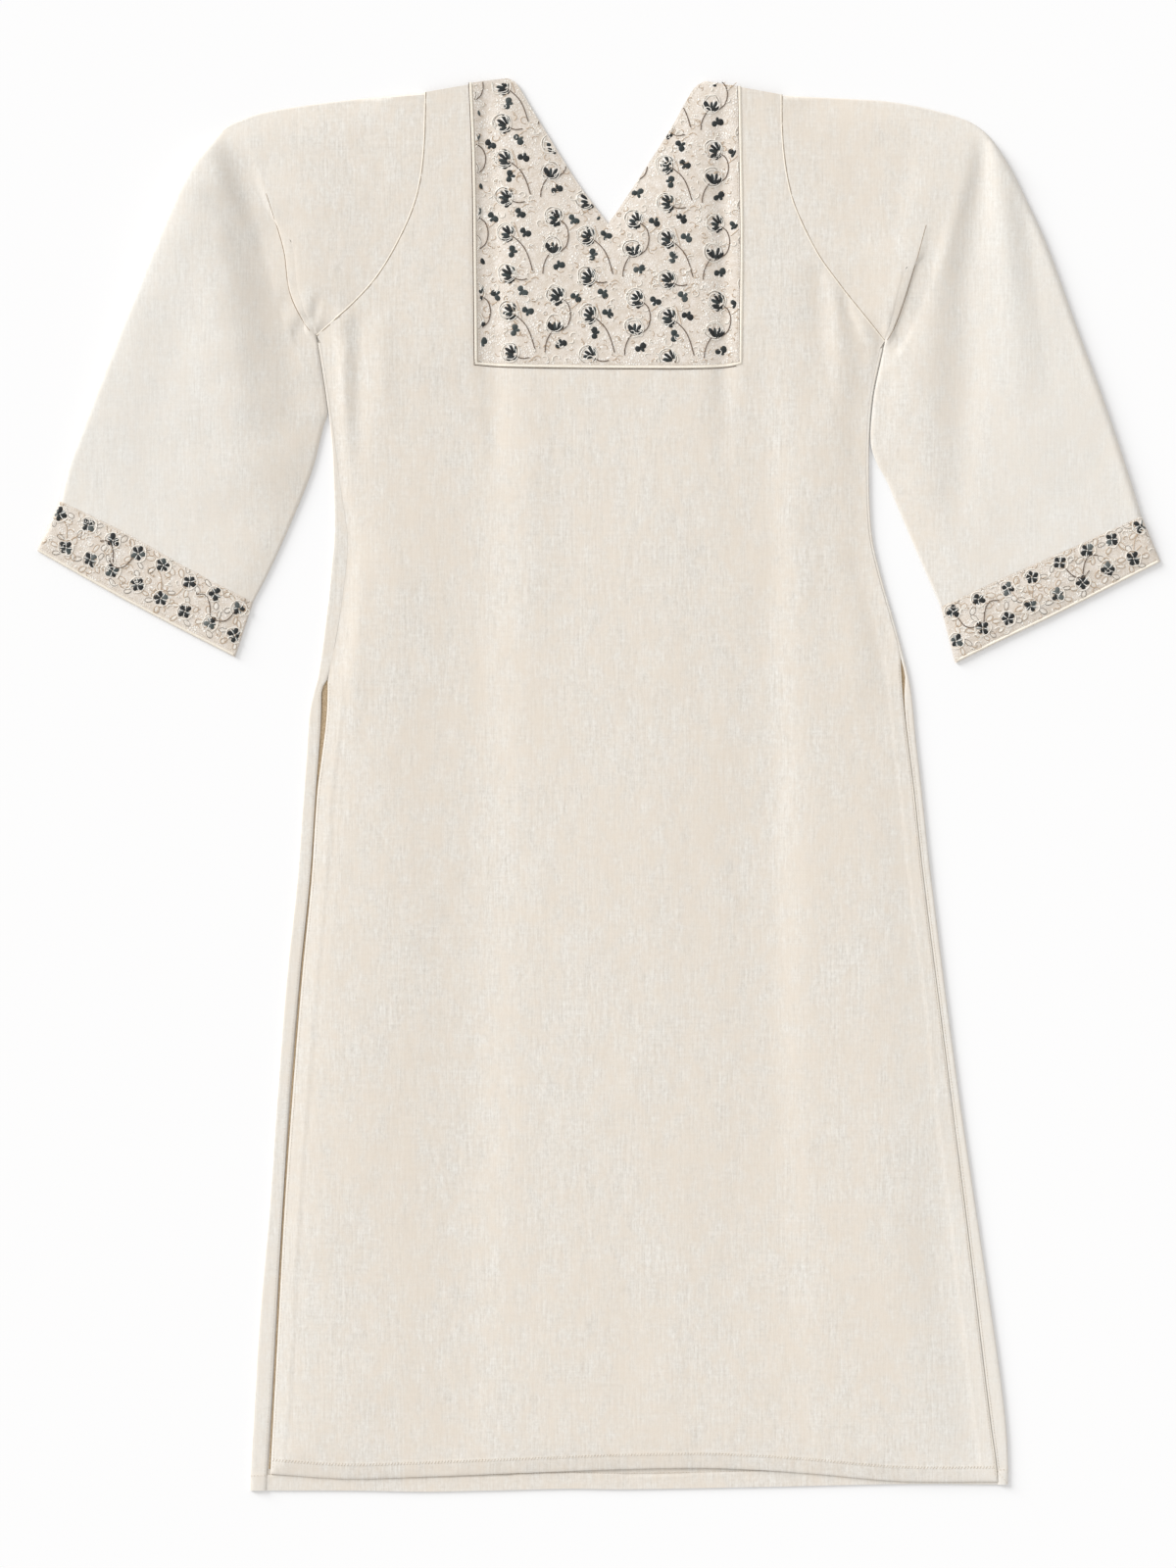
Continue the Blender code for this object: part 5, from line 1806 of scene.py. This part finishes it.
    def petal_points(self, name, petals):
        """A point for each petal, turned to lie along the cloth."""
        bases = np.array([tuple(petal[0]) for petal in petals])
        ways = np.array([(math.cos(petal[1]), math.sin(petal[1])) for petal in petals])
        lengths = np.array([petal[2] for petal in petals])[:, None]
        sides = np.stack([-ways[:, 1], ways[:, 0]], -1)
        middle = bases + ways * lengths / 2
        ends = (bases, bases + ways * lengths, middle + sides, middle - sides)
        levels = [self.height(places) for places in ends]
        mesh = bpy.data.meshes.new(name)
        points, turns, sizes, shades = [], [], [], []
        for i, (base, turn, length, width, shade, lift) in enumerate(petals):
            rise = (levels[1][i] - levels[0][i]) / length
            tilt = (levels[2][i] - levels[3][i]) / 2
            points.append((base.x * MM, base.y * MM, (levels[0][i] + LINEN / 2 - 0.1) * MM))
            turns += [math.atan(rise), math.atan(-tilt), turn - math.pi / 2]
            sizes += [width / 2 * MM, length / 2 * MM, lift * 1.6 * MM]
            shades.append(shade)
        mesh.from_pydata(points, [], [])
        for label, kind, values in (("turn", "FLOAT_VECTOR", turns), ("size", "FLOAT_VECTOR", sizes),
                                    ("shade", "FLOAT", shades)):
            layer = mesh.attributes.new(label, kind, "POINT")
            layer.data.foreach_set("vector" if kind == "FLOAT_VECTOR" else "value", values)
        return mesh


YOKE_LINES = {side: Path(parts["yoke"]) for side, parts in SIDES.items()}
NECK_LINES = {side: Path(parts["neck"]) for side, parts in SIDES.items()}
YOKE_TOP = 588.0
BOTTOM_IN = 1.6  # the embroidery ends this far above the yoke's lower edge
NECK_BELOW = 3.0  # the V counts from this far below its point
NECK_SLANT = 0.85  # distance from the V's edge for one across


def yoke_room(place):
    """How far inside the yoke's edges a place lies."""
    across, along = place
    found = [along - CENTRE_LEVELS[1] - BOTTOM_IN, YOKE_TOP - along]
    found.append(across - float(YOKE_LINES["right"].across(along)))
    found.append(float(YOKE_LINES["left"].across(along)) - across)
    if along > NECK_POINT[1] - NECK_BELOW:
        side = "left" if across > NECK_POINT[0] else "right"
        neck = float(NECK_LINES[side].across(along))
        found.append((across - neck) * SIDES[side]["out"] * NECK_SLANT)
    return min(found)


# How the even repeat lies on the cloth: it leans less towards the wearer's left, is drawn in
# there, and closes up above the V's point.
DRIFT_HALF = 80.0  # from the middle to where each side's full drift is reached
DRIFT_IN = 2.0
DRIFT_UP = 2.4
LEAN = 0.031
LEAN_LESS = 0.017
LEAN_LEVEL = 460.0
CLOSING_UP = 0.07
SLANT = 0.036
BLOOM_SIZE = 1.1
REPEAT_COLUMNS = range(-3, 3)
REPEAT_ROWS = range(-4, 4)
#    across, along
STREWN = ((-108, 122), (350, 592))


def drift(column, row, x, y):
    """Where a place of one of the repeats comes to lie on the yoke."""
    across = FIRST_BLOOM[0] + column * REPEAT[0] + x
    along = FIRST_BLOOM[1] + row * REPEAT[1] + y
    above = max(along - NECK_POINT[1], 0.0)
    left = min(max((across + DRIFT_HALF) / (2 * DRIFT_HALF), 0.0), 1.0)
    lean = (along - LEAN_LEVEL) * (LEAN - LEAN_LESS * left)
    return across - DRIFT_IN * left - lean, along + DRIFT_UP - above * CLOSING_UP - across * SLANT


def embroider_yoke(finishes):
    """Sprigs of flowers, leaves and stems all over the yoke, with finer thread between them."""
    work = Needlework(yoke_height, yoke_room, SEEDS["yoke"])
    for spot in itertools.product(REPEAT_COLUMNS, REPEAT_ROWS):
        for kind, x, y, turn in BLOOMS:
            work.bloom(kind, drift(*spot, x, y), turn, BLOOM_SIZE)
        for x, y, turn in LEAF_PAIRS:
            work.leaf_pair(drift(*spot, x, y), turn)
        for kind, stems in (("stem", STEMS), ("fine", FINE_STEMS)):
            for stem in stems:
                work.line(kind, [drift(*spot, x, y) for x, y in stem])
    strew(work, "yoke", lambda: tuple(work.some(*span) for span in STREWN))
    return work.make("yoke", finishes)


def strew(work, piece, spot):
    """Curls and small white leaves all over a piece."""
    for i in range(CURLS[piece]):
        place = spot()
        if work.room(place) > STREWN_IN:
            work.curl(CURL_THREADS[i % 5], place)
    for _ in range(SPECKS[piece]):
        place = spot()
        if work.room(place) > STREWN_IN:
            work.speck(place)


def embroider_cuff(side, finishes):
    """Two rows of clovers round the cuff, joined by stems, with finer thread between them."""
    cuff = Cuff(side)
    corners = [cuff.at(*corner) for corner in ((0.0, 0.0), (1.0, 0.0), (1.0, 1.0), (0.0, 1.0))]

    def cuff_room(place):
        """How far inside the cuff's edges a place lies."""
        place = Vector(place)
        if not inside(corners, place):
            return -1.0
        gaps = []
        for a, b in zip(corners, corners[1:] + corners[:1]):
            way = (b - a).normalized()
            gaps.append(abs(Vector((-way.y, way.x)).dot(place - a)))
        return min(gaps)

    work = Needlework(upper_height, cuff_room, SEEDS[side])
    slant = math.degrees(math.atan2(*(corners[1] - corners[0]).yx))
    for row, (share, first, step) in enumerate(CLOVER_ROWS):
        for i in range(CLOVERS_PER_ROW):
            across = first + step * i + work.some(-0.008, 0.008)
            place = cuff.at(across, share + work.some(-0.03, 0.03))
            work.clover(place, slant + work.some(0, 90))
            if i % 2 == row:
                stem = vine(cuff, across, share, step, row, work)
                work.line("stem" if i % 4 == row else "fine", stem)
    strew(work, "cuff", lambda: tuple(cuff.at(work.some(0, 1), work.some(0, 1))))
    return work.make("cuff_" + side, finishes)


def vine(cuff, across, share, step, row, work):
    """A stem that leaves a clover and bends towards the next one in the other row."""
    way = 1 if row == 0 else -1
    return [
        tuple(cuff.at(across + reach * step, share + way * bend + work.some(-0.02, 0.02)))
        for reach, bend in ((0.10, 0.12), (0.28, 0.30), (0.55, 0.40), (0.85, 0.36))
    ]


def inside(corners, place):
    """Whether a place lies within four corners that run one way round."""
    signs = [(b - a).cross(place - a) > 0 for a, b in zip(corners, corners[1:] + corners[:1])]
    return all(signs) or not any(signs)


# ---- finishes


def weave_relief(finish, slub):
    """Height of a plain weave with slubs, in turns of warp and weft."""
    warp = finish.place(1 / 0.00055, 1 / 0.0006)
    across = finish.add("ShaderNodeSeparateXYZ", {}, {"Vector": warp})
    return (across * math.pi).wave() * (across.also("Y") * math.pi).wave() * 0.35 + slub


def make_linen(name, light, shade, warm, cool, relief=0.36):
    """Slubbed linen: long thick and thin threads both ways, and soft uneven patches."""
    finish = Finish(name, 0.92, Specular_IOR_Level=0.22, Sheen_Weight=0.12, Sheen_Roughness=0.5)
    warp = finish.cloud(560, 34, 3, 0.62)
    fine_warp = finish.cloud(1300, 120, 2, 0.6)
    weft = finish.cloud(34, 620, 3, 0.6)
    speckle = finish.cloud(330, 260, 3, 0.7)
    patches = finish.cloud(85, 60, 4, 0.6)
    broad = finish.cloud(16, 8, 2, 0.5)
    slub = warp * 0.50 + weft * 0.18 + fine_warp * 0.34 + speckle * 0.48
    threads = slub.between(0.46, 1.04)
    cloth = finish.mix(threads, shade, light)
    warmth = (patches * 0.75 + broad * 0.5).between(0.40, 0.84)
    across = finish.add("ShaderNodeSeparateXYZ", {}, {"Vector": finish.place(1, 1)})
    pale = across.size().between(0.20, 0.40)
    finish.set("Base Color", finish.mix(pale * 0.32, finish.mix(warmth * 0.8, cloth, warm), cool))
    finish.bump(weave_relief(finish, slub), relief, 0.0004)
    return finish.material


def make_ground(name):
    """Embroidered ground: the same linen, covered in places with pale tone-on-tone stitching."""
    finish = Finish(name, 0.9, Specular_IOR_Level=0.25, Sheen_Weight=0.12, Sheen_Roughness=0.5)
    stitched = finish.cloud(85, 75, 3, 0.65, 0.8).between(0.44, 0.62)
    fill = finish.add(
        "ShaderNodeTexVoronoi", {"feature": "DISTANCE_TO_EDGE"},
        {"Vector": finish.place(520, 420), "Scale": 1.0},
    ).between(0.02, 0.26)
    grain = finish.cloud(640, 640, 3, 0.75)
    warmth = finish.cloud(150, 150, 3, 0.6).between(0.35, 0.7)
    plain = finish.mix(warmth, linear(216, 205, 192), linear(229, 221, 212))
    raised = finish.mix(fill, linear(208, 196, 182), linear(250, 248, 243))
    worked = finish.mix(stitched * (0.30 + fill * 0.60), plain, raised)
    finish.set("Base Color", finish.mix(grain.between(0.48, 0.74) * 0.55, worked, linear(184, 168, 150)))
    finish.bump(fill * stitched * 0.8 + grain, 0.5, 0.0006)
    return finish.material


def make_satin(name, dark, middle, pale):
    """Satin stitch: each petal has its own shade, streaked along its threads."""
    finish = Finish(name, 0.55, Specular_IOR_Level=0.4, Sheen_Weight=0.1)
    satin = finish.add("ShaderNodeAttribute", {"attribute_name": "satin"}, output=1)
    shade = finish.add("ShaderNodeAttribute", {"attribute_name": "shade"}, output=2)
    moved = finish.add("ShaderNodeCombineXYZ", {}, {"Z": shade * 40.0})
    spot = finish.add("ShaderNodeVectorMath", {"operation": "ADD"}, {0: satin, 1: moved})
    streak = finish.add(
        "ShaderNodeTexNoise", {},
        {"Vector": finish.add("ShaderNodeMapping", {}, {"Vector": spot, "Scale": (7.0, 0.9, 1.0)}),
         "Scale": 1.0, "Detail": 2.0, "Roughness": 0.6},
    )
    tone = shade + (streak - 0.5) * 0.42
    low = finish.mix(tone.between(0.0, 0.45), dark, middle)
    finish.set("Base Color", finish.mix(tone.between(0.35, 1.0), low, pale))
    finish.bump(streak, 0.5, 0.0003)
    return finish.material


def make_twisted(name, colour, darker, roughness=0.7):
    """Plain thread or cord, with the lighter and darker turns of its twist."""
    finish = Finish(name, roughness, Specular_IOR_Level=0.3, Sheen_Weight=0.1)
    place = finish.add("ShaderNodeTexCoord", {}, output=3)
    twist = finish.add("ShaderNodeTexNoise", {}, {"Vector": place, "Scale": 900.0, "Detail": 2.0})
    finish.set("Base Color", finish.mix(twist.between(0.35, 0.7), darker, colour))
    finish.bump(twist, 0.4, 0.0002)
    return finish.material


# ---- stage

FLOOR_COLOUR = (0.90, 0.90, 0.905, 1.0)
FLOOR_SIZE = 6.0
CAMERA_HEIGHT = 3.2
CAMERA_PLACE = (-0.009, 0.0008)
FRAME_HEIGHT = 1.312  # metres of floor from the bottom to the top of the frame
SENSOR = 36.0
SKY_COLOUR = (1.0, 0.992, 0.98, 1.0)
SKY_STRENGTH = 0.769
WINDOW_COLOUR = (0.985, 0.992, 1.0)
WINDOW_STRENGTH = 3.35
WINDOW_SPREAD = 28.0  # degrees of sky that the window's light comes from
WINDOW_WAY = (0.80, -0.58, -0.321)


def make_stage():
    """The floor, the camera straight above it and the light."""
    half = FLOOR_SIZE / 2
    corners = [(-half, -half, 0.0), (half, -half, 0.0), (half, half, 0.0), (-half, half, 0.0)]
    floor = add_mesh("floor", corners, [(0, 1, 2, 3)])
    finish = Finish("pale_floor", 1.0, Base_Color=FLOOR_COLOUR, Specular_IOR_Level=0.0)
    floor.data.materials.append(finish.material)
    camera = place_in_scene("camera", bpy.data.cameras.new("camera"))
    camera.data.sensor_fit = "VERTICAL"
    camera.data.sensor_height = SENSOR
    camera.data.lens = SENSOR * CAMERA_HEIGHT / FRAME_HEIGHT
    camera.location = (*CAMERA_PLACE, CAMERA_HEIGHT)
    bpy.context.scene.camera = camera
    sky = bpy.data.worlds.new("studio")
    sky.use_nodes = True
    light = sky.node_tree.nodes["Background"].inputs
    light["Color"].default_value = SKY_COLOUR
    light["Strength"].default_value = SKY_STRENGTH
    bpy.context.scene.world = sky
    lamp = bpy.data.lights.new("window", "SUN")
    lamp.energy = WINDOW_STRENGTH
    lamp.angle = math.radians(WINDOW_SPREAD)
    lamp.color = WINDOW_COLOUR
    window = place_in_scene("window", lamp)
    window.rotation_euler = Vector(WINDOW_WAY).to_track_quat("-Z", "Y").to_euler()
    bpy.context.scene.view_settings.view_transform = "Standard"


# ---- the garment


def wear(piece, node=None):
    """Sets a piece on the garment's one body, in place of its plain solid when one is named."""
    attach(piece, "root")
    if node:
        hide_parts(node)


# Screen colours, 0 to 255, of each finish.
#    light, shade, warm and cool
LINEN_COLOURS = ((239, 236, 230), (205, 198, 188), (226, 215, 201), (235, 235, 232))
#    dark, middle and pale
SATIN_COLOURS = {
    "dark_satin_thread": ((17, 19, 20), (44, 54, 54), (152, 155, 152)),
    "white_satin_thread": ((224, 216, 205), (234, 228, 219), (249, 247, 242)),
}
#    colour, darker colour, roughness
TWIST_COLOURS = {
    "piping_cloth": ((241, 234, 222), (230, 221, 206), 0.9),
    # painted shade: the dark line beside each armhole seam and in each sleeve's fold
    "seam_thread": ((176, 158, 136), (146, 127, 106), 0.9),
    # painted shade in the slits' gap and hollows
    "slit_facing": ((196, 174, 144), (166, 144, 114), 0.9),
    "sewing_thread": ((222, 213, 200), (188, 175, 157), 0.7),
    "brown_thread": ((118, 98, 82), (82, 66, 54), 0.7),
    "tan_thread": ((204, 182, 156), (178, 154, 128), 0.7),
    "grey_thread": ((132, 122, 112), (98, 92, 86), 0.7),
    "white_thread": ((244, 241, 234), (226, 220, 210), 0.7),
}


def make_finishes():
    """Every material of the garment, by name."""
    made = {
        "linen": make_linen("linen", *(linear(*colour) for colour in LINEN_COLOURS)),
        "embroidered_ground": make_ground("embroidered_ground"),
    }
    for name, colours in SATIN_COLOURS.items():
        made[name] = make_satin(name, *(linear(*colour) for colour in colours))
    for name, (colour, darker, roughness) in TWIST_COLOURS.items():
        made[name] = make_twisted(name, linear(*colour), linear(*darker), roughness)
    return made


def make_body(finishes):
    """Back, front and yoke, with what is sewn to them."""
    linen, cream = finishes["linen"], finishes["piping_cloth"]
    back = make_back(linen)
    front = make_front(linen)
    yoke = make_yoke(finishes["embroidered_ground"])
    wear(back, "back")
    wear(front, "front")
    wear(yoke, "yoke")
    cord, ditch = make_piping(cream, finishes["brown_thread"])
    wear(cord, "yoke_piping")
    wear(ditch)
    hem_rows, edge_rows, back_rows, yoke_rows = make_sewing(finishes["sewing_thread"])
    wear(yoke_rows)
    # the armhole seams' raised lines, with painted shadow beside them
    seams = make_seam_lines(cream, finishes["seam_thread"])
    # the left slit's pressed edge, and painted shade in the slits
    seams += make_slit_lines(cream, finishes["slit_facing"])
    for piece in (hem_rows, edge_rows, back_rows, *seams):
        wear(piece)
    motifs = embroider_yoke(finishes)
    for motif in motifs:
        wear(motif)


def make_arm(side, finishes):
    """A sleeve and its cuff, with what is sewn to them."""
    sleeve = make_sleeve(side, finishes["linen"])
    cuff = make_cuff(side, finishes["embroidered_ground"])
    # painted shade in the crease of the sleeve's fold
    crease = make_fold_lines(side, finishes["seam_thread"])
    rows, rim = make_cuff_sewing(side, finishes["sewing_thread"], finishes["piping_cloth"])
    wear(sleeve, "sleeve_" + side)
    wear(crease)
    wear(cuff, "cuff_" + side)
    work = embroider_cuff(side, finishes)
    for piece in (rows, rim, *work):
        wear(piece)


make_stage()
garment_finishes = make_finishes()
make_body(garment_finishes)
for arm in SIDES:
    make_arm(arm, garment_finishes)
